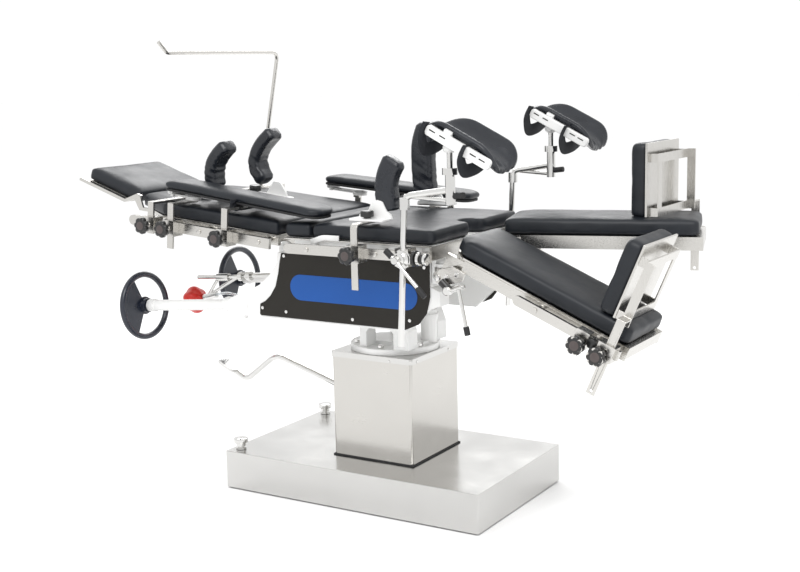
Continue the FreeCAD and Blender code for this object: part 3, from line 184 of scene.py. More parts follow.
STEEL = (0.66, 0.645, 0.615)
MATERIALS = {
    "sheet": metal("brushed_sheet", (0.62, 0.605, 0.575), 0.22, (0.02, 0.02, 1), 0.02, 700, 0.012),
    "sheet_top": metal("brushed_top", (0.66, 0.655, 0.64), 0.20, (0.02, 1, 1), 0.02, 700, 0.01),
    "steel": metal("brushed_steel", STEEL, 0.24, (0.03, 1, 1), 0.08, 900),
    "steel_up": metal("brushed_upright", STEEL, 0.24, (1, 1, 0.03), 0.08, 900),
    "chrome": metal("chrome", (0.74, 0.735, 0.72), 0.10, (1, 1, 1), 0.03, 300),
    "plate": metal("grey_plate", (0.45, 0.48, 0.52), 0.42, (1, 1, 1), 0.10, 300),
    "white": painted("white_enamel", (0.86, 0.86, 0.85), 0.32, 0.02, 0.3),
    "panel": painted("black_panel", (0.020, 0.018, 0.015), 0.45, 0.006, 0.0),
    "label": painted("blue_label", (0.012, 0.085, 0.34), 0.42, 0.006, 0.0),
    "knob": painted("black_moulding", (0.012, 0.012, 0.012), 0.30, 0.004, 0.25, 90),
    "knob_face": painted("worn_face", (0.085, 0.070, 0.068), 0.45, 0.03, 0.0, 120),
    "wheel": painted("wheel_moulding", (0.012, 0.016, 0.028), 0.30, 0.004, 0.3, 40),
    "red": painted("red_moulding", (0.62, 0.045, 0.028), 0.35, 0.05, 0.2, 60),
    "rubber": painted("black_rubber", (0.015, 0.015, 0.016), 0.62, 0.005, 0.0, 70),
    "webbing": painted("webbing", (0.014, 0.016, 0.021), 0.72, 0.006, 0.0, 300),
    "leather": leather("black_leather", (0.0075, 0.0095, 0.0135), (0.013, 0.016, 0.021), 0.42),
    "sleeve": leather("thin_leather", (0.009, 0.011, 0.016), (0.017, 0.020, 0.026), 0.27,
                      700, 0.2, 0.5),
    "clear": new_material("clear_sheath", (0.75, 0.78, 0.80), 0.12)[0],
}
for shy, level in (("panel", 0.25), ("label", 0.3), ("leather", 0.4)):
    socket = MATERIALS[shy].node_tree.nodes["Principled BSDF"].inputs["Specular IOR Level"]
    socket.default_value = level
clear = MATERIALS["clear"].node_tree.nodes["Principled BSDF"]
clear.inputs["Transmission Weight"].default_value = 0.75
join(MATERIALS["clear"], bump(MATERIALS["clear"], noise_field(MATERIALS["clear"], 240), 0.2, 0.2),
     clear.inputs["Normal"])


# Mesh helpers

def keep_mesh(name, verts, faces, body, material, place=None, smooth=True):
    mesh = bpy.data.meshes.new(name)
    mesh.from_pydata([[c * MM for c in v] for v in verts], [], faces)
    piece = bpy.data.objects.new(name, mesh)
    bpy.context.scene.collection.objects.link(piece)
    tidy_mesh(piece)
    if place is not None:
        mesh.transform(place)
        if place.determinant() < 0:
            mesh.flip_normals()
    for polygon in mesh.polygons:
        polygon.use_smooth = smooth
    if material:
        mesh.materials.append(MATERIALS[material])
    if body:
        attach(piece, body)
    return piece


def tidy_mesh(piece):
    mesh = bmesh.new()
    mesh.from_mesh(piece.data)
    bmesh.ops.remove_doubles(mesh, verts=mesh.verts, dist=1e-6)
    bmesh.ops.recalc_face_normals(mesh, faces=mesh.faces)
    mesh.to_mesh(piece.data)
    mesh.free()


def soften(piece, width, segments=2, angle=35):
    """Rounds the edges of a rigid piece."""
    modifier = piece.modifiers.new("round", "BEVEL")
    modifier.width = width * MM
    modifier.segments = segments
    modifier.limit_method = "ANGLE"
    modifier.angle_limit = math.radians(angle)
    modifier.harden_normals = True
    return piece


def place_point(a, b, h, axis):
    return {"z": (a, b, h), "x": (h, a, b), "y": (a, h, b)}[axis]


def prism(name, outline, low, high, axis, body, material, place=None, edge=1.0):
    """A plate with this outline, from low to high along an axis."""
    count = len(outline)
    verts = [place_point(a, b, low, axis) for a, b in outline]
    verts += [place_point(a, b, high, axis) for a, b in outline]
    faces = [tuple(range(count)), tuple(range(2 * count - 1, count - 1, -1))]
    for index in range(count):
        after = (index + 1) % count
        faces.append((index, after, after + count, index + count))
    piece = keep_mesh(name, verts, faces, body, material, place)
    if edge:
        soften(piece, edge)
    return piece


def corners(points, radius, steps=5):
    """The outline with its corners rounded. radius is one number, or one for each corner."""
    count = len(points)
    radii = radius if isinstance(radius, (list, tuple)) else [radius] * count
    made = []
    for index, point in enumerate(points):
        here = Vector(point)
        back = Vector(points[index - 1]) - here
        ahead = Vector(points[(index + 1) % count]) - here
        if radii[index] <= 0:
            made.append(tuple(here))
            continue
        half = back.angle(ahead) / 2
        reach = min(radii[index] / math.tan(half), back.length * 0.49, ahead.length * 0.49)
        r = reach * math.tan(half)
        start = here + back.normalized() * reach
        end = here + ahead.normalized() * reach
        middle = here + (back.normalized() + ahead.normalized()).normalized() * r / math.sin(half)
        a, b = start - middle, end - middle
        sweep = a.angle_signed(b) if a.length > 0 and b.length > 0 else 0
        for step in range(steps + 1):
            part = a.copy()
            angle = -sweep * step / steps
            c, s = math.cos(angle), math.sin(angle)
            part = Vector((a.x * c - a.y * s, a.x * s + a.y * c))
            made.append(tuple(middle + part))
    return made


def rect(x0, x1, y0, y1, radius=0, steps=5):
    points = [(x0, y0), (x1, y0), (x1, y1), (x0, y1)]
    return corners(points, radius, steps) if radius else points


def lathe(name, profile, body, material, place, count=40, lobes=0, depth=0.0):
    """A turned piece round its own Z. profile is (radius, height) from one end to the other."""
    verts, faces = [], []
    for r, h in profile:
        for step in range(count):
            angle = 2 * math.pi * step / count
            wave = 1 + depth * math.cos(lobes * angle) if lobes else 1
            verts.append((r * wave * math.cos(angle), r * wave * math.sin(angle), h))
    for row in range(len(profile) - 1):
        for step in range(count):
            after = (step + 1) % count
            faces.append((row * count + step, row * count + after,
                          (row + 1) * count + after, (row + 1) * count + step))
    faces.append(tuple(range(count - 1, -1, -1)))
    last = (len(profile) - 1) * count
    faces.append(tuple(range(last, last + count)))
    piece = keep_mesh(name, verts, faces, body, material, place)
    piece.data.set_sharp_from_angle(angle=math.radians(38))
    return piece


def aim(x, y, z, direction):
    """The place of a turned piece whose own Z points along direction."""
    spin = Vector(direction).to_track_quat("Z", "Y").to_matrix().to_4x4()
    return shift(x, y, z) @ spin


def rod(name, start, end, radius, body, material, place=None, edge=0.8, count=28):
    """A straight round bar with a small edge at both ends."""
    run = Vector(end) - Vector(start)
    edge = min(edge, radius * 0.6)
    profile = [(radius - edge, 0), (radius, edge), (radius, run.length - edge),
               (radius - edge, run.length)]
    spot = aim(*start, run)
    return lathe(name, profile, body, material, place @ spot if place else spot, count)


def arc_line(points, radius, steps=7):
    """Points along straight runs joined by arcs."""
    points = [Vector(p) for p in points]
    line = [points[0]]
    for index in range(1, len(points) - 1):
        here = points[index]
        back = (points[index - 1] - here)
        ahead = (points[index + 1] - here)
        half = back.angle(ahead) / 2
        r = radius[index - 1] if isinstance(radius, (list, tuple)) else radius
        reach = min(r / math.tan(half), back.length * 0.48, ahead.length * 0.48)
        a = here + back.normalized() * reach
        b = here + ahead.normalized() * reach
        for step in range(steps + 1):
            t = step / steps
            line.append((1 - t) ** 2 * a + 2 * t * (1 - t) * here + t * t * b)
    line.append(points[-1])
    return line


def sweep(name, line, section, body, material, place=None, up=(0, 0, 1), scale=None):
    """A section of (across, up) points carried along a line."""
    line = [Vector(p) for p in line]
    count = len(section)
    verts, faces = [], []
    side = None
    for index, point in enumerate(line):
        ahead = line[min(index + 1, len(line) - 1)] - line[max(index - 1, 0)]
        ahead.normalize()
        if side is None:
            side = Vector(up).cross(ahead)
            if side.length < 1e-4:
                side = Vector((0, 1, 0)).cross(ahead)
        side = (side - ahead * side.dot(ahead)).normalized()
        top = ahead.cross(side)
        size = scale(index / (len(line) - 1)) if scale else (1, 1)
        for a, b in section:
            verts.append(tuple(point + side * a * size[0] + top * b * size[1]))
    for row in range(len(line) - 1):
        for step in range(count):
            after = (step + 1) % count
            faces.append((row * count + step, row * count + after,
                          (row + 1) * count + after, (row + 1) * count + step))
    faces.append(tuple(range(count - 1, -1, -1)))
    last = (len(line) - 1) * count
    faces.append(tuple(range(last, last + count)))
    return keep_mesh(name, verts, faces, body, material, place)


def ring_section(radius, count=14):
    return [(radius * math.cos(2 * math.pi * i / count), radius * math.sin(2 * math.pi * i / count))
            for i in range(count)]


def bar_section(wide, thick, radius=1.0):
    return corners([(-wide / 2, -thick / 2), (wide / 2, -thick / 2), (wide / 2, thick / 2),
                    (-wide / 2, thick / 2)], min(radius, thick * 0.45), 3)


def tube(name, points, radius, bend, body, material, place=None):
    piece = sweep(name, arc_line(points, bend), ring_section(radius), body, material, place)
    piece.data.set_sharp_from_angle(angle=math.radians(50))
    return piece


def strip(name, points, wide, thick, bend, body, material, place=None, up=(0, 0, 1)):
    """A flat bar bent along a line. up is the way its flat side faces at the start."""
    piece = sweep(name, arc_line(points, bend), bar_section(wide, thick), body, material, place, up)
    piece.data.set_sharp_from_angle(angle=math.radians(50))
    return piece


def screw_head(name, x, y, z, direction, radius, high, body, material="chrome", sides=6,
               place=None):
    """A bolt head: a low hexagon or dome on a washer."""
    spot = aim(x, y, z, direction)
    if place is not None:
        spot = place @ spot
    if sides == 6:
        profile = [(radius * 1.25, 0), (radius * 1.25, high * 0.2), (radius, high * 0.25),
                   (radius, high * 0.9), (radius * 0.88, high)]
        piece = lathe(name, profile, body, material, spot, 6)
        return soften(piece, 0.4)
    profile = [(radius, 0), (radius, high * 0.4), (radius * 0.85, high * 0.85),
               (radius * 0.4, high)]
    return lathe(name, profile, body, material, spot, 24)


def star_knob(name, x, y, z, side, body, place=None, radius=23.5, depth=17, lobes=7):
    """A lobed hand knob with a domed face and a worn plug in its middle."""
    spot = aim(x, y, z, (0, side, 0))
    if place is not None:
        spot = place @ spot
    r = radius
    profile = [(r * 0.45, -0.5), (r * 0.80, 0.5), (r * 0.93, 3), (r * 0.93, depth - 5),
               (r * 0.86, depth - 1.5), (r * 0.70, depth), (r * 0.5, depth - 0.6)]
    count = lobes * 12
    verts, faces = [], []
    for row, (rr, h) in enumerate(profile):
        deep = 0.115 if row in (1, 2, 3, 4) else (0.06 if row == 5 else 0.0)
        for step in range(count):
            angle = 2 * math.pi * step / count
            wave = abs(math.sin(lobes * angle / 2)) ** 0.6
            size = rr * (1 + deep * 0.6 - deep * 2.2 * (1 - wave))
            verts.append((size * math.cos(angle), size * math.sin(angle), h))
    for row in range(len(profile) - 1):
        for step in range(count):
            after = (step + 1) % count
            faces.append((row * count + step, row * count + after,
                          (row + 1) * count + after, (row + 1) * count + step))
    faces.append(tuple(range(count - 1, -1, -1)))
    last = (len(profile) - 1) * count
    faces.append(tuple(range(last, last + count)))
    knob = keep_mesh(name, verts, faces, body, "knob", spot)
    face = [(r * 0.50, depth - 2), (r * 0.50, depth - 0.2), (r * 0.44, depth + 0.6),
            (r * 0.2, depth + 1.2)]
    lathe(name + "_face", face, body, "knob_face", spot, 28)
    return knob


# Soft pieces

def final_mesh(piece):
    """The piece's mesh with its modifiers applied."""
    graph = bpy.context.evaluated_depsgraph_get()
    mesh = bpy.data.meshes.new_from_object(piece.evaluated_get(graph))
    old = piece.data
    piece.modifiers.clear()
    piece.data = mesh
    bpy.data.meshes.remove(old)
    return mesh


def coordinates(mesh):
    values = np.zeros(len(mesh.vertices) * 3)
    mesh.vertices.foreach_get("co", values)
    return values.reshape(-1, 3)


def set_coordinates(mesh, values):
    mesh.vertices.foreach_set("co", np.asarray(values, np.float32).ravel())
    mesh.update()


def inflate(piece, cap, pressure=4.0):
    """Swells the mesh by cloth pressure, moving no point further than cap."""
    start = coordinates(piece.data).copy()
    cloth = piece.modifiers.new("cloth", "CLOTH")
    cloth.settings.quality = 4
    cloth.settings.tension_stiffness = 15
    cloth.settings.compression_stiffness = 15
    cloth.settings.bending_stiffness = 0.5
    cloth.settings.use_pressure = True
    cloth.settings.uniform_pressure_force = pressure
    cloth.settings.effector_weights.gravity = 0
    cloth.collision_settings.use_collision = False
    scene = bpy.context.scene
    for step in range(1, 21):
        scene.frame_set(step)
    graph = bpy.context.evaluated_depsgraph_get()
    swollen = piece.evaluated_get(graph).to_mesh()
    end = coordinates(swollen).copy()
    piece.evaluated_get(graph).to_mesh_clear()
    piece.modifiers.clear()
    scene.frame_set(1)
    move = end - start
    reach = np.linalg.norm(move, axis=1)
    share = np.minimum(1, cap * MM / np.maximum(reach, 1e-9))
    set_coordinates(piece.data, start + move * share[:, None])


def cushion(name, outline, low, high, axis, body, place, nodes, edge=7.0, cap=4.0, crown=2.5,
            voxel=7.0, material="leather", creases=0.0, simulate=True, flat=True):
    """A foam pad under tight leather. It swells between its edges and is flat where it rests."""
    piece = prism(name, outline, low, high, axis, None, None, None, 0)
    edges = piece.modifiers.new("edge", "BEVEL")
    edges.width = edge * MM
    edges.segments = 3
    edges.limit_method = "ANGLE"
    edges.angle_limit = math.radians(50)
    mesher = piece.modifiers.new("mesh", "REMESH")
    mesher.mode = "VOXEL"
    mesher.voxel_size = voxel * MM
    final_mesh(piece)
    if simulate:
        inflate(piece, cap)
    points = coordinates(piece.data)
    h = {"x": 0, "y": 1, "z": 2}[axis]
    a, b = [i for i in range(3) if i != h]
    middle = (points.min(0) + points.max(0)) / 2
    half = (points.max(0) - points.min(0)) / 2
    u = (points[:, a] - middle[a]) / half[a]
    v = (points[:, b] - middle[b]) / half[b]
    rise = (points[:, h] - low * MM) / ((high - low) * MM)
    if flat:
        dome = np.clip(1 - np.abs(u) ** 3, 0, 1) * np.clip(1 - np.abs(v) ** 3, 0, 1)
        points[:, h] += crown * MM * dome * np.clip(rise, 0, 1)
        points[:, h] = np.maximum(points[:, h], low * MM + 0.0003)
    if creases:
        rim = np.clip((np.maximum(np.abs(u), np.abs(v)) - 0.9) / 0.1, 0, 1)
        for index, point in enumerate(points):
            if rim[index] > 0:
                p = Vector(point) * 26
                value = noise.noise(Vector((p.x * 1.0, p.y * 1.0, p.z * 2.2)))
                fold = creases * MM * rim[index] * value
                points[index][a] += fold * math.copysign(1, u[index]) * (abs(u[index]) > 0.9)
                points[index][b] += fold * math.copysign(1, v[index]) * (abs(v[index]) > 0.9)
    set_coordinates(piece.data, points)
    smoother = piece.modifiers.new("smooth", "SMOOTH")
    smoother.factor = 0.5
    smoother.iterations = 2
    finer = piece.modifiers.new("finer", "SUBSURF")
    finer.levels = finer.render_levels = 1
    final_mesh(piece)
    finish_soft(piece, body, place, nodes, material)
    return piece


def finish_soft(piece, body, place, nodes, material):
    if place is not None:
        piece.data.transform(place)
        if place.determinant() < 0:
            piece.data.flip_normals()
    for polygon in piece.data.polygons:
        polygon.use_smooth = True
    piece.data.materials.clear()
    piece.data.materials.append(MATERIALS[material])
    if body:
        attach(piece, body)
    if nodes:
        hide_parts(*nodes)


# Table top cushions

def top_cushions():
    seat = [(-103, -240), (264, -240), (264, -34), (232, -30), (216, -12), (216, 12),
            (232, 30), (264, 34), (264, 240), (-103, 240)]
    seat = corners([(a + 0, b) for a, b in seat], [6, 16, 18, 22, 16, 16, 22, 18, 16, 6], 5)
    cushion("cushion_seat", seat, 728, 764, "z", "table", None, ["seat_cushion"], creases=1.5)
    cushion("cushion_kidney", rect(-189, -106, -239, 239, 5), 728, 764, "z", "table", None,
            ["kidney_cushion"], edge=6, cap=3)
    half, end = 239, 153
    points = [(-16, -half), (-420, -half), (-572, -end), (-572, end), (-420, half), (-16, half)]
    prism_back = corners(points, [4, 14, 10, 10, 14, 4], 5)
    cushion("cushion_back", prism_back, -36.5, -1, "z", "back", BACK, ["back_cushion"],
            creases=1.2)
    head = corners([(-12, -153), (-12, 153), (-222, 153), (-222, -153)], 9, 4)
    cushion("cushion_head", head, -25, 11, "z", "head", HEAD, ["head_cushion"], creases=1.4)
    for name in ("near", "far"):
        a0, a1, b1, b0 = 10, 513, 40, -181
        outline = corners([(a0, b0), (a1, b0), (a1, b1), (a0 + 30, b1), (a0, b1 - 30)],
                          [10, 16, 16, 6, 6], 4)
        cushion("cushion_leg_" + name, outline, 77.5, 118, "z", "leg_" + name, LEG[name],
                ["leg_cushion_" + name], creases=2.2)
        low = 120
        pad = corners([(b0, low), (b1, low), (b1, low + 193), (b0, low + 193)], [8, 8, 18, 18], 5)
        swing = shift(489, 86, 0) @ turn("Z", -18) @ shift(-489, -86, 0)
        place = LEG[name] if name == "near" else LEG[name] @ swing
        cushion("cushion_foot_" + name, pad, 412.5, 451.5, "x", "foot_" + name, place,
                ["footplate_pad_" + name], creases=1.5, flat=False)


def arm_boards():
    for name, side in SIDE.items():
        root = BACK @ (shift(-340, -200, 14) if side < 0 else shift(-110, 300, 8))
        reach = 61 if side < 0 else 95
        place = root @ shift(-reach, 0, 17) @ turn("Y", 1.8 if side < 0 else -0.6)
        length = 520 if side < 0 else 495
        outline = corners([(-12, -54), (length, -54), (length, 54), (-12, 54)],
                          [22, 40, 40, 22], 8)
        cushion("pad_arm_" + name, outline, 13.5, 32.5, "z", "arm_board_" + name, place,
                ["arm_board_" + name], edge=8, cap=3, crown=2, creases=1.5)
        inner = corners([(-8, -48), (length - 8, -48), (length - 8, 48), (-8, 48)],
                        [18, 34, 34, 18], 6)
        prism("tray_arm_" + name, inner, 7, 13.5, "z", "arm_board_" + name, "rubber", place, 1.5)
        for y in (-26, 26):
            tab = corners([(-8, -5), (8, -5), (8, 8), (-8, 8)], 4, 3)
            prism("ear_arm_%s_%d" % (name, y > 0), tab, y - 3, y + 3, "y", "arm_board_" + name,
                  "white", place, 0.8)
        strap_x = 250
        band = [(strap_x, -57, 20), (strap_x, -58, 8), (strap_x, -46, 3.5), (strap_x, 0, 3),
                (strap_x, 46, 3.5), (strap_x, 58, 8), (strap_x, 57, 20)]
        strip("strap_arm_" + name, band, 30, 1.6, 4, "arm_board_" + name, "webbing", place,
              (1, 0, 0))
        buckle = rect(-17, 17, -12, 12, 4)
        prism("buckle_arm_" + name, buckle, -3.5, 2.5, "z", "arm_board_" + name, "knob",
              place @ shift(strap_x, -44, 2) @ turn("X", 8), 1.2)


# Shaped pads

def bolster(name, line, wide, thick, body, nodes, folds, place=None):
    """A curved pad in a loose leather sleeve: a rounded section carried along a line."""
    section = corners([(-wide / 2, -thick / 2), (wide / 2, -thick / 2), (wide / 2, thick / 2),
                       (-wide / 2, thick / 2)], min(wide, thick) * 0.30, 5)
    fine = []
    for a, b in zip(section, section[1:] + section[:1]):
        gap = math.dist(a, b)
        steps = max(1, int(gap / 7))
        fine += [(a[0] + (b[0] - a[0]) * k / steps, a[1] + (b[1] - a[1]) * k / steps)
                 for k in range(steps)]
    path = smooth_line(line, 44)

    def size(t):
        tip = min(1.0, (min(t, 1 - t) / 0.05)) ** 0.5
        tip = max(tip, 0.80)
        return (tip, tip)

    piece = sweep(name, path, fine, None, None, None, (1, 0, 0), size)
    points = coordinates(piece.data)
    normals = np.zeros_like(points).ravel()
    piece.data.vertices.foreach_get("normal", normals)
    normals = normals.reshape(-1, 3)
    low, high = points[:, 2].min(), points[:, 2].max()
    for index, point in enumerate(points):
        p = Vector(point)
        t = (p.z - low) / (high - low)
        bend = math.exp(-((t - folds[0]) / folds[1]) ** 2)
        crease = noise.noise(Vector((p.x * 18, p.y * 10, p.z * 95 + 3 * p.x * 18)))
        loose = noise.noise(Vector((p.x * 24, p.y * 24, p.z * 30)))
        points[index] += normals[index] * MM * (3.2 * bend * crease + 1.4 * loose)
    set_coordinates(piece.data, points)
    finer = piece.modifiers.new("finer", "SUBSURF")
    finer.levels = finer.render_levels = 1
    final_mesh(piece)
    finish_soft(piece, body, place, nodes, "sleeve")
    return piece


def smooth_line(points, count):
    """Points along a Catmull-Rom curve."""
    p = [Vector(x) for x in points]
    p = [p[0] * 2 - p[1]] + p + [p[-1] * 2 - p[-2]]
    spans = len(p) - 3
    line = []
    for index in range(count + 1):
        s = min(index / count * spans, spans - 1e-6)
        k, t = int(s), s - int(s)
        a, b, c, d = p[k:k + 4]
        line.append(0.5 * ((2 * b) + (c - a) * t + (2 * a - 5 * b + 4 * c - d) * t * t
                           + (3 * b - a - 3 * c + d) * t ** 3))
    return line


def shoulder_supports():
    near = [(-528, -100, 836), (-533, -100, 868), (-528, -100, 900), (-505, -100, 932),
            (-472, -100, 958)]
    far = [(-502, 100, 836), (-524, 100, 866), (-530, 100, 900), (-514, 100, 935),
           (-489, 100, 962), (-462, 100, 984)]
    bolster("pad_shoulder_near", near, 60, 38, "back", ["shoulder_pads"], (0.35, 0.25))
    bolster("pad_shoulder_far", far, 60, 40, "back", ["shoulder_pads"], (0.3, 0.25))
    for name, y, x in (("near", -100, -532), ("far", 100, -506)):
        outline = corners([(-88, -17), (70, -12), (84, 0), (70, 12), (-88, 17)],
                          [14, 10, 12, 10, 14], 4)
        place = BACK @ shift(x + 193.5 + 20, y, 0.6)
        prism("foot_shoulder_" + name, outline, 0, 6, "z", "back", "white", place, 1.5)
        # Painted shade: a thin black sheet on the foot stands in for the shaded inside of its slot.
        slot_shade = rect(-70, -10, -4, 4, 3.9)
        prism("slot_shoulder_" + name, slot_shade, 6, 6.4, "z", "back", "knob", place, 0)
        web = corners([(-20, 5), (58, 5), (52, 20), (30, 46), (8, 46)], [2, 4, 10, 6, 4], 3)
        prism("web_shoulder_" + name, web, -4, 4, "y", "back", "white", place, 1.2)
        knob = BACK @ shift(x + 193.5 - 42, y, 6)
        profile = [(9, 0), (9, 3), (17, 4), (17.5, 6), (17.5, 18), (16, 20.5), (10, 21.5)]
        lathe("knob_shoulder_" + name, profile, "back", "knob", knob, 40, 20, 0.02)


def body_supports():
    near = [(94, -168, 800), (92, -168, 830), (90, -168, 862), (98, -168, 898),
            (118, -168, 934)]
    pads = [("near", near, 58, 40), ("far", [(10, 165, 800), (8, 165, 840), (4, 165, 900),
                                            (8, 165, 955), (24, 165, 1004)], 66, 46)]
    for name, line, wide, thick in pads:
        side = SIDE[name]
        bolster("pad_body_" + name, line, thick, wide, "table", ["body_pads"], (0.2, 0.3))
    for name, x, low, reach in (("near", 68, 612, 165), ("far", 18, 640, 165)):
        side = SIDE[name]
        y = side * 292
        top = 777 if side < 0 else 771
        strip("bar_body_" + name, [(x, y, low), (x, y, top), (x, side * 186, top)], 20, 6, 14,
              "table", "steel_up", None, (0, 1, 0))
        wedge = [(x - 52, 0), (x + 52, 0), (x + 46, 14), (x + 34, 22), (x + 22, 46), (x + 6, 50),
                 (x - 10, 44), (x - 22, 22), (x - 48, 12)]
        wedge = corners([(a, top + 3 + b) for a, b in wedge], [3, 3, 6, 8, 10, 8, 8, 8, 4], 3)
        face = side * 192
        piece = prism("bracket_body_" + name, wedge, min(face, face - side * 6),
                      max(face, face - side * 6), "y", "table", "white", None, 1.2)
        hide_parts("body_brackets")
        ledge = rect(x - 52, x + 52, min(side * 240, side * 186), max(side * 240, side * 186), 6)
        prism("ledge_body_" + name, ledge, top + 3, top + 8, "z", "table", "white", None, 1.2)
        profile = [(9, 0), (9, 3), (16.5, 4), (17, 6), (17, 17), (15, 19.5), (9, 20.5)]
        lathe("knob_body_" + name, profile, "table", "knob",
              shift(x - 10, side * 214, top + 8), 40, 20, 0.02)


def crutches():
    for name, side in SIDE.items():
        body = "crutch_" + name
        x, z = (351, 974.3) if side < 0 else (333, 987.3)
        root = shift(x, side * 300, z)
        lean = root @ turn("Y", 27)
        leg_rest(name, body, root @ shift(56, 60, 65.6) @ turn("Y", 27))
        profile = [(10, -11), (15, -7), (17, 0), (15, 8), (10, 14), (8, 20)]
        ball = lathe("ball_crutch_" + name, profile, body, "white", root, 32)
        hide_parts("crutch_cradle_" + name)
        top = 855 if side < 0 else 868
        elbow = (x - 128 if side < 0 else x - 117, side * 300, top + 1)
        low_end = (x - 8, side * 300, top - 6)
        rod("stay_crutch_" + name, elbow, low_end, 5, "table", "chrome")
        rod("stub_crutch_" + name, (x + 4, side * 300, top + 4), (x + 38, side * 300, top + 8), 7.5,
            "table", "rubber")
        neck = smooth_line([(0, 0, 8), (1, -4, 20), (5, -16, 30), (10, -22, 40)], 14)
        sweep("neck_crutch_" + name, neck, corners([(-11, -7), (11, -7), (11, 7), (-11, 7)], 5, 4),
              body, "white", root, (0, 1, 0))
        bar = corners([(-94, -13), (94, -13), (94, 13), (-94, 13)], [9, 9, 9, 9], 5)
        prism("bar_crutch_" + name, [(a + 30, b + 19) for a, b in bar], -30.5, -16, "y", body,
              "white", lean, 3)
        # Painted shade: thin black sheets on the bar stand in for the shaded insides of its slots.
        for k, at in enumerate((-44, -14, 76, 102)):
            slot_shade = rect(at - 9, at + 9, 21, 24, 1.4)
            prism("slot_crutch_%s_%d" % (name, k), slot_shade, -31, -30.4, "y", body, "knob", lean, 0)
        for k, (at, drop) in enumerate(((-66, 44), (52, 38))):
            loop = [(at, -33, 36), (at, -35, 14), (at + 3, -31, -4), (at + 10, -6, -drop * 0.72),
                    (at + 14, 36, -drop * 0.6), (at + 10, 76, -14), (at + 6, 102, 2),
                    (at + 4, 114, 14)]
            piece = sweep("strap_crutch_%s_%d" % (name, k), smooth_line(loop, 44),
                          bar_section(34, 2.2), body, "webbing", lean, (1, 0, 0))
            piece.data.set_sharp_from_angle(angle=math.radians(50))


def leg_rest(name, body, place):
    """The padded gutter for a calf: rolled rims, and a lower end that is gathered and flared."""
    rows, across = 40, 30
    inner, outer = 67.0, 87.0
    verts, faces = [], []

    def spot(s, t):
        a = -106 + 214 * s
        head = 1 - (1 - min(s / 0.34, 1)) ** 2.4
        foot = 1 - (1 - min((1 - s) / 0.30, 1)) ** 2.6
        plan = (0.36 + 0.64 * head ** 0.6) * (0.50 + 0.50 * foot ** 0.6)
        reach = math.radians(66) * plan
        lip = 9 * max(0.0, (s - 0.70) / 0.30) ** 2
        return a, reach, lip

    def point(s, t, side):
        a, reach, lip = spot(s, t)
        angle = t * reach
        middle = (inner + outer) / 2
        tip = min(s, 1 - s)
        thick = 9.5 * (0.45 + 0.55 * min(1, tip / 0.05) ** 0.5)
        thick *= 1 - 0.35 * abs(t) ** 8
        flare = 5 * abs(t) ** 4
        r = middle + flare + side * thick
        gather = max(0.0, (s - 0.58) / 0.42)
        wave = math.sin(t * 15 + 1.3) * 0.6 + math.sin(t * 9.3 - s * 3) * 0.5
        r += 1.3 * gather * wave * (1 if side < 0 else 0.6)
        r += 1.3 * noise.noise(Vector((a * 0.03, t * 3, side * 2.0 + 5)))
        return (a + (1.2 * gather * wave), r * math.sin(angle), -r * math.cos(angle) - lip)

    for side in (-1, 1):
        for i in range(rows + 1):
            for j in range(across + 1):
                verts.append(point(i / rows, 2 * j / across - 1, side))
    plane = (rows + 1) * (across + 1)

    def at(i, j, k):
        return i * (across + 1) + j + k * plane

    for i in range(rows):
        for j in range(across):
            faces.append((at(i, j, 0), at(i + 1, j, 0), at(i + 1, j + 1, 0), at(i, j + 1, 0)))
            faces.append((at(i, j, 1), at(i, j + 1, 1), at(i + 1, j + 1, 1), at(i + 1, j, 1)))
        faces.append((at(i, 0, 0), at(i, 0, 1), at(i + 1, 0, 1), at(i + 1, 0, 0)))
        faces.append((at(i, across, 0), at(i + 1, across, 0), at(i + 1, across, 1),
                      at(i, across, 1)))
    for j in range(across):
        faces.append((at(0, j, 0), at(0, j + 1, 0), at(0, j + 1, 1), at(0, j, 1)))
        faces.append((at(rows, j, 0), at(rows, j, 1), at(rows, j + 1, 1), at(rows, j + 1, 0)))
    piece = keep_mesh("pad_crutch_" + name, verts, faces, None, None)
    finer = piece.modifiers.new("finer", "SUBSURF")
    finer.levels = finer.render_levels = 2
    final_mesh(piece)
    finish_soft(piece, body, place, ["crutch_pad_" + name], "sleeve")


# Knobs, levers and fittings

def rail_knobs():
    places = [("seat", 68, 704, -1, "table", None), ("seat", 18, 704, 1, "table", None),
              ("seat", 205, 704, 1, "table", None)]
    places += [("back", x, -54, -1, "back", BACK) for x in (-412, -340, -152)]
    places += [("back", x, -54, 1, "back", BACK) for x in (-480, -400, -110)]
    for index, (group, x, z, side, body, place) in enumerate(places):
        knob = star_knob("knob_%s_%d" % (group, index), x, side * 321, z, side, body, place)
        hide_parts(group + "_knobs")
        stem = (x, side * 310, z), (x, side * 324, z)
        rod("stem_%s_%d" % (group, index), *stem, 6.5, body, "chrome", place)
    for name, side in SIDE.items():
        for k, a in enumerate((419, 474.5)):
            star_knob("knob_leg_%s_%d" % (name, k), a, 101.5, 47, 1, "leg_" + name, LEG[name],
                      23.5, 17.5)
        profile = [(7, 0), (12, 1), (12, 13), (9, 15)]
        lathe("knob_small_leg_" + name, profile, "leg_" + name, "knob",
              LEG[name] @ aim(447, 80.5, 62, (0, 1, 0)), 36, 12, 0.05)


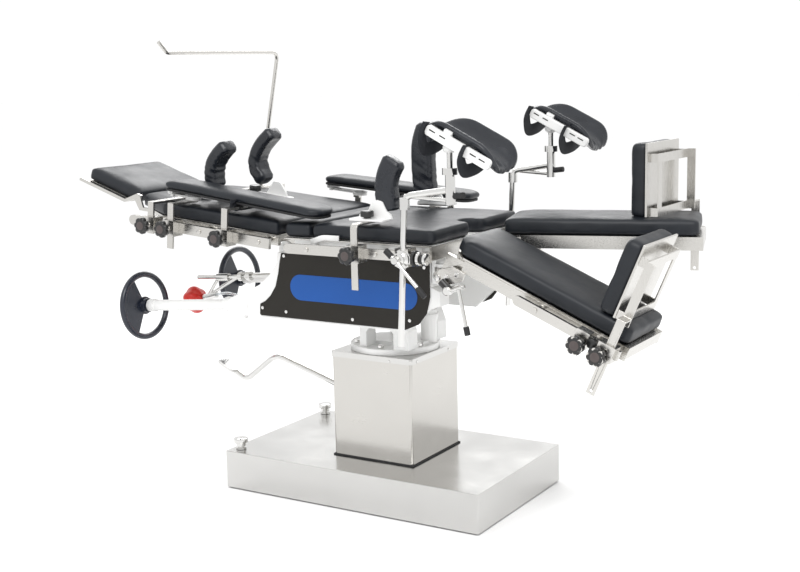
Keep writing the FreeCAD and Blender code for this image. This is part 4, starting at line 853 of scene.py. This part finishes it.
def pole_clamp():
    """The ring clamp of the near pole, with its washer, disc and cross handle."""
    x, z = 215, 701
    profile = [(24, 0), (24, 3), (22, 4), (22, 9), (17, 11), (14, 14), (14, 18), (10, 19)]
    lathe("clamp_pole_ring", profile, "table", "chrome", aim(x, -302, z, (0, -1, 0)), 40)
    rod("clamp_pole_stem", (x, -312, z), (x - 4, -322, z - 1), 6.5, "table", "chrome")
    hub = (x - 6, -325, z - 1)
    lathe("clamp_pole_hub", [(8, -9), (9.5, -7), (9.5, 7), (8, 9)], "table", "chrome",
          aim(*hub, (0, -1, 0)), 28)
    rod("clamp_pole_arm_0", hub, (hub[0] + 66, hub[1] - 3, hub[2] - 66), 5, "table", "chrome")
    rod("clamp_pole_arm_1", hub, (hub[0] - 14, hub[1] - 1, hub[2] + 13), 5, "table", "chrome")
    tip = (hub[0] + 62, hub[1] - 3, hub[2] - 62)
    rod("clamp_pole_grip_0", tip, (tip[0] + 22, tip[1] - 1, tip[2] - 22), 7, "table", "rubber")
    rod("clamp_pole_grip_1", (hub[0] - 10, hub[1] - 1, hub[2] + 9),
        (hub[0] - 27, hub[1] - 1, hub[2] + 24), 8, "table", "rubber")
    for k, (x0, r, colour) in enumerate(((240, 20, "knob"), (252, 17, "chrome"),
                                         (262, 13, "knob"), (270, 15, "chrome"))):
        lathe("clamp_pole_disc_%d" % k, [(r * 0.8, 0), (r, 1.5), (r, 8), (r * 0.8, 9.5)], "table",
              colour, aim(x0, -291, z + 1, (1, 0, 0)), 36)


def leg_hinges():
    for name, side in SIDE.items():
        body = "leg_" + name
        place = LEG[name]
        lug = corners([(2, -16), (30, -10), (72, 22), (72, 44), (36, 46), (0, 20)],
                      [12, 10, 6, 3, 6, 10], 4)
        prism("plate_hinge_" + name, lug, 41, 46, "y", body, "steel", place, 0.8)
        for k, (a, h, r) in enumerate(((6, 0, 9), (28, 14, 6), (52, 32, 6))):
            screw_head("bolt_hinge_%s_%d" % (name, k), a, 46, h, (0, 1, 0), r, 5, body, "chrome",
                       6 if k else 24, place)
        rod("shaft_hinge_" + name, (52, 10, -10), (52, 70, -10), 8, body, "chrome", place)
        rod("grip_hinge_" + name, (24, 58, 2), (54, 58, -8), 10, body, "knob", place)
        lathe("hub_hinge_" + name, [(9, -10), (11, -8), (11, 8), (9, 10)], body, "chrome",
              place @ aim(52, 62, -10, (0, 1, 0)), 28)
        rod("end_hinge_" + name, (54, 62, -10), (88, 58, 20), 5, body, "chrome", place)


def leg_levers():
    """The locking lever that hangs below the near leg hinge."""
    top, low = (348, -262, 630), (371, -262, 521)
    rod("lever_leg_near", top, low, 5, "leg_near", "chrome")
    grip = Vector(low) + (Vector(low) - Vector(top)).normalized() * 4
    rod("grip_leg_near", tuple(Vector(low) + (Vector(top) - Vector(low)) * 0.16), tuple(grip), 7.5,
        "leg_near", "rubber")


def panel_bits():
    for side in (-1, 1):
        for k, (x, z) in enumerate(((-220, 670), (-219, 517), (-299, 522), (-3, 514), (172, 526),
                                    (218, 666))):
            screw_head("screw_panel_%d_%d" % (side > 0, k), x, side * 202, z, (0, side, 0), 5.2,
                       3.2, "table", "chrome", 24)


def column_bits():
    """Black strips in the gap under the column cover, a painted shadow of that gap, and the screws
    of its cap.
    """
    # Painted shadow: black strips fill the gap under the column cover, where there is only the
    # gap's shade.
    for k, (x0, x1, y0, y1) in enumerate(((-129, 129, -130, -127), (-129, 129, 127, 130),
                                          (-129, -126, -127, 127), (126, 129, -127, 127))):
        prism("gasket_%d" % k, rect(x0, x1, y0, y1), 108.9, 112.5, "z", "base", "rubber", None, 0.5)
    for k, (x, y, direction) in enumerate(((60, -130, (0, -1, 0)), (60, 130, (0, 1, 0)),
                                           (129, 70, (1, 0, 0)), (129, -100, (1, 0, 0)))):
        screw_head("screw_cap_%d" % k, x, y, 392, direction, 3.6, 1.8, "base", "chrome", 24)


def lock_knobs():
    """The mushroom heads of the two floor locks."""
    profile = [(15, 0), (15, 5), (9, 5.5), (9, 8), (13.5, 9), (13.5, 18), (19.5, 19), (20, 20),
               (20, 29), (19, 31), (13, 32.4), (5, 33)]
    for name, side in SIDE.items():
        head = lathe("head_lock_" + name, profile, "lock_" + name, "chrome",
                     shift(-392, side * 208, 109.7), 48)
        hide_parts("base_lock_knob_" + name)


def rail_bits():
    for side in (-1, 1):
        for x in (-91, 120, 241):
            screw_head("screw_rail_seat_%d_%d" % (side > 0, x), x, side * 280, 704, (0, side, 0), 7,
                       3.5, "table", "steel", 24)
        for x in (-48, -250, -372):
            screw_head("screw_rail_back_%d_%d" % (side > 0, -x), x, side * 280, -54, (0, side, 0),
                       7, 3.5, "back", "steel", 24, BACK)


def plate_edges():
    """The thin sheet edges that show under the cushions."""
    for side in (-1, 1):
        y0, y1 = sorted((side * 226, side * 243))
        prism("edge_seat_%d" % (side > 0), rect(-188, 262, y0, y1), 722.5, 726.5, "z",
              "table", "steel")
        y0, y1 = sorted((side * 214, side * 243))
        prism("edge_back_%d" % (side > 0), rect(-420, -20, y0, y1), -42, -38, "z", "back",
              "steel", BACK)
        end = rect(258, 263, min(side * 70, side * 244), max(side * 70, side * 244))
        prism("end_seat_%d" % (side > 0), end, 690, 726, "z", "table", "steel", None, 0.6)
        arc = arc_line([(-98, side * 246, 720), (-60, side * 246, 733), (-10, side * 246, 733)],
                       [60], 8)
        sweep("bracket_arc_%d" % (side > 0), arc, bar_section(14, 3), "table", "white", None,
              (0, 1, 0))


def handwheels():
    """The wheels' domed hubs, each with a chrome cap."""
    for name, side in SIDE.items():
        x = -754 if side < 0 else -684
        rise = 0 if side < 0 else 25
        z = 517 + rise - (-424 - x) * math.tan(math.radians(5))
        place = shift(x, side * 180, z) @ turn("Y", -5) @ turn("Y", 90)
        body = "wheel_" + name
        profile = [(14, 14), (21, 15), (22, 19), (17, 24), (9, 25)]
        lathe("hub_wheel_" + name, [(r, -h) for r, h in profile], body, "wheel", place, 36)
        lathe("cap_wheel_" + name, [(9, -24), (9, -27), (6, -28.5)], body, "chrome", place, 28)


def control_knob():
    """The large lobed red knob on the end of the selector shaft."""
    profile = [(16, -37), (30, -34), (38, -25), (40, -10), (37, 3), (28, 11), (14, 17), (13, 22)]
    place = shift(-668.3, -40, 490.1) @ turn("Y", 75)
    knob = lathe("knob_red", profile, "control_knob", "red", place, 72, 6, 0.06)
    knob.data.set_sharp_from_angle(angle=math.radians(70))
    finer = knob.modifiers.new("finer", "SUBSURF")
    finer.levels = finer.render_levels = 1
    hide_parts("red_knob")


def hose_piece():
    """The clear sheath from the control bush into the near casting."""
    points = [(-596.5, -40, 509.3), (-566, -40, 517), (-520, -60, 521), (-470, -87, 521),
              (-428, -112, 519), (-412, -134, 518), (-412, -154 + 0.3, 518)]
    curve = bpy.data.curves.new("control_sheath", "CURVE")
    curve.dimensions = "3D"
    spline = curve.splines.new("NURBS")
    spline.points.add(len(points) - 1)
    for spot, point in zip(spline.points, points):
        spot.co = (*[c * MM for c in point], 1)
    spline.use_endpoint_u = True
    spline.order_u = 3
    curve.bevel_depth = 4 * MM
    curve.bevel_resolution = 6
    curve.use_fill_caps = True
    piece = bpy.data.objects.new("control_sheath", curve)
    bpy.context.scene.collection.objects.link(piece)
    curve.materials.append(MATERIALS["clear"])
    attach(piece, "table")
    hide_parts("control_hose")


# CAD nodes

NODE_MATERIALS = {
    "base_plate": "rubber", "base_cover": "sheet_top", "column_cover": "sheet",
    "column_cap": "sheet_top", "hydraulic_cylinder": "chrome", "pump_block": "steel",
    "pump_pedal": "chrome", "base_lock_knob_near": "chrome",
    "base_lock_knob_far": "chrome",
    "lift_ram": "chrome", "flange_plate": "white", "flange_bolts": "chrome",
    "column_head": "white", "trunnion_pin": "steel", "tilt_cradle": "white",
    "seat_frame": "white", "side_castings": "white", "side_panels": "panel",
    "panel_label": "label", "wheel_tubes": "white", "control_linkage": "chrome",
    "handwheel_near": "wheel", "handwheel_far": "wheel", "red_knob": "red",
    "footplate_frame_near": "steel_up", "footplate_frame_far": "steel_up",
    "arm_socket_near": "white", "arm_socket_far": "white", "screen_rod": "steel_up",
    "crutch_poles": "chrome", "head_frame": "steel",
}


def dress_nodes():
    for name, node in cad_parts.items():
        node.data.materials.clear()
        node.data.materials.append(MATERIALS[NODE_MATERIALS.get(name, "steel")])
        if name not in ("base_cover", "control_linkage", "screen_rod", "crutch_poles",
                        "pump_pedal"):
            weld = node.modifiers.new("weld", "WELD")
            weld.merge_threshold = 0.00002
            soften(node, 0.9, 2, 38)
        if name == "side_castings":
            node.modifiers["round"].width = 0.004


# Stage

def stage():
    scene = bpy.context.scene
    floor_mesh = bpy.data.meshes.new("floor")
    floor_mesh.from_pydata([(-40, -40, 0), (40, -40, 0), (40, 40, 0), (-40, 40, 0)], [],
                           [(0, 1, 2, 3)])
    floor = bpy.data.objects.new("floor", floor_mesh)
    scene.collection.objects.link(floor)
    material, shader = new_material("pale_floor", (0.96, 0.96, 0.96), 0.8, 0.0, 0.1)
    floor_mesh.materials.append(material)

    world = bpy.data.worlds.new("studio")
    scene.world = world
    world.use_nodes = True
    world.node_tree.nodes["Background"].inputs["Color"].default_value = (1, 1, 1, 1)
    world.node_tree.nodes["Background"].inputs["Strength"].default_value = 1.05

    def softbox(name, spot, target, wide, high, power):
        light = bpy.data.lights.new(name, "AREA")
        light.shape = "RECTANGLE"
        light.size, light.size_y = wide, high
        light.energy = power
        lamp = bpy.data.objects.new(name, light)
        scene.collection.objects.link(lamp)
        lamp.location = spot
        lamp.rotation_mode = "QUATERNION"
        lamp.rotation_quaternion = (Vector(target) - Vector(spot)).to_track_quat("-Z", "Y")

    softbox("key", (1.2, -2.2, 3.4), (0, 0, 0.6), 2.4, 1.6, 60)
    softbox("back", (-1.5, 2.6, 2.6), (0, 0, 0.7), 2.6, 1.4, 50)

    yaw, pitch, roll = 0.5545, 0.1712, -0.0227
    ahead = Vector((-math.sin(yaw) * math.cos(pitch), math.cos(yaw) * math.cos(pitch),
                    -math.sin(pitch)))
    level = Vector((math.cos(yaw), math.sin(yaw), 0))
    rise = level.cross(ahead)
    right = math.cos(roll) * level + math.sin(roll) * rise
    top = -math.sin(roll) * level + math.cos(roll) * rise
    lens = bpy.data.cameras.new("camera")
    lens.lens = 57.594
    lens.sensor_width = 36
    camera = bpy.data.objects.new("camera", lens)
    scene.collection.objects.link(camera)
    spin = Matrix((right, top, -ahead)).transposed().to_4x4()
    camera.matrix_world = Matrix.Translation((1.8373, -2.9357, 1.1694)) @ spin
    scene.camera = camera
    scene.view_settings.view_transform = "Standard"


stage()
dress_nodes()
top_cushions()
arm_boards()
shoulder_supports()
body_supports()
crutches()
rail_knobs()
pole_clamp()
leg_hinges()
leg_levers()
panel_bits()
column_bits()
lock_knobs()
rail_bits()
plate_edges()
handwheels()
control_knob()
hose_piece()
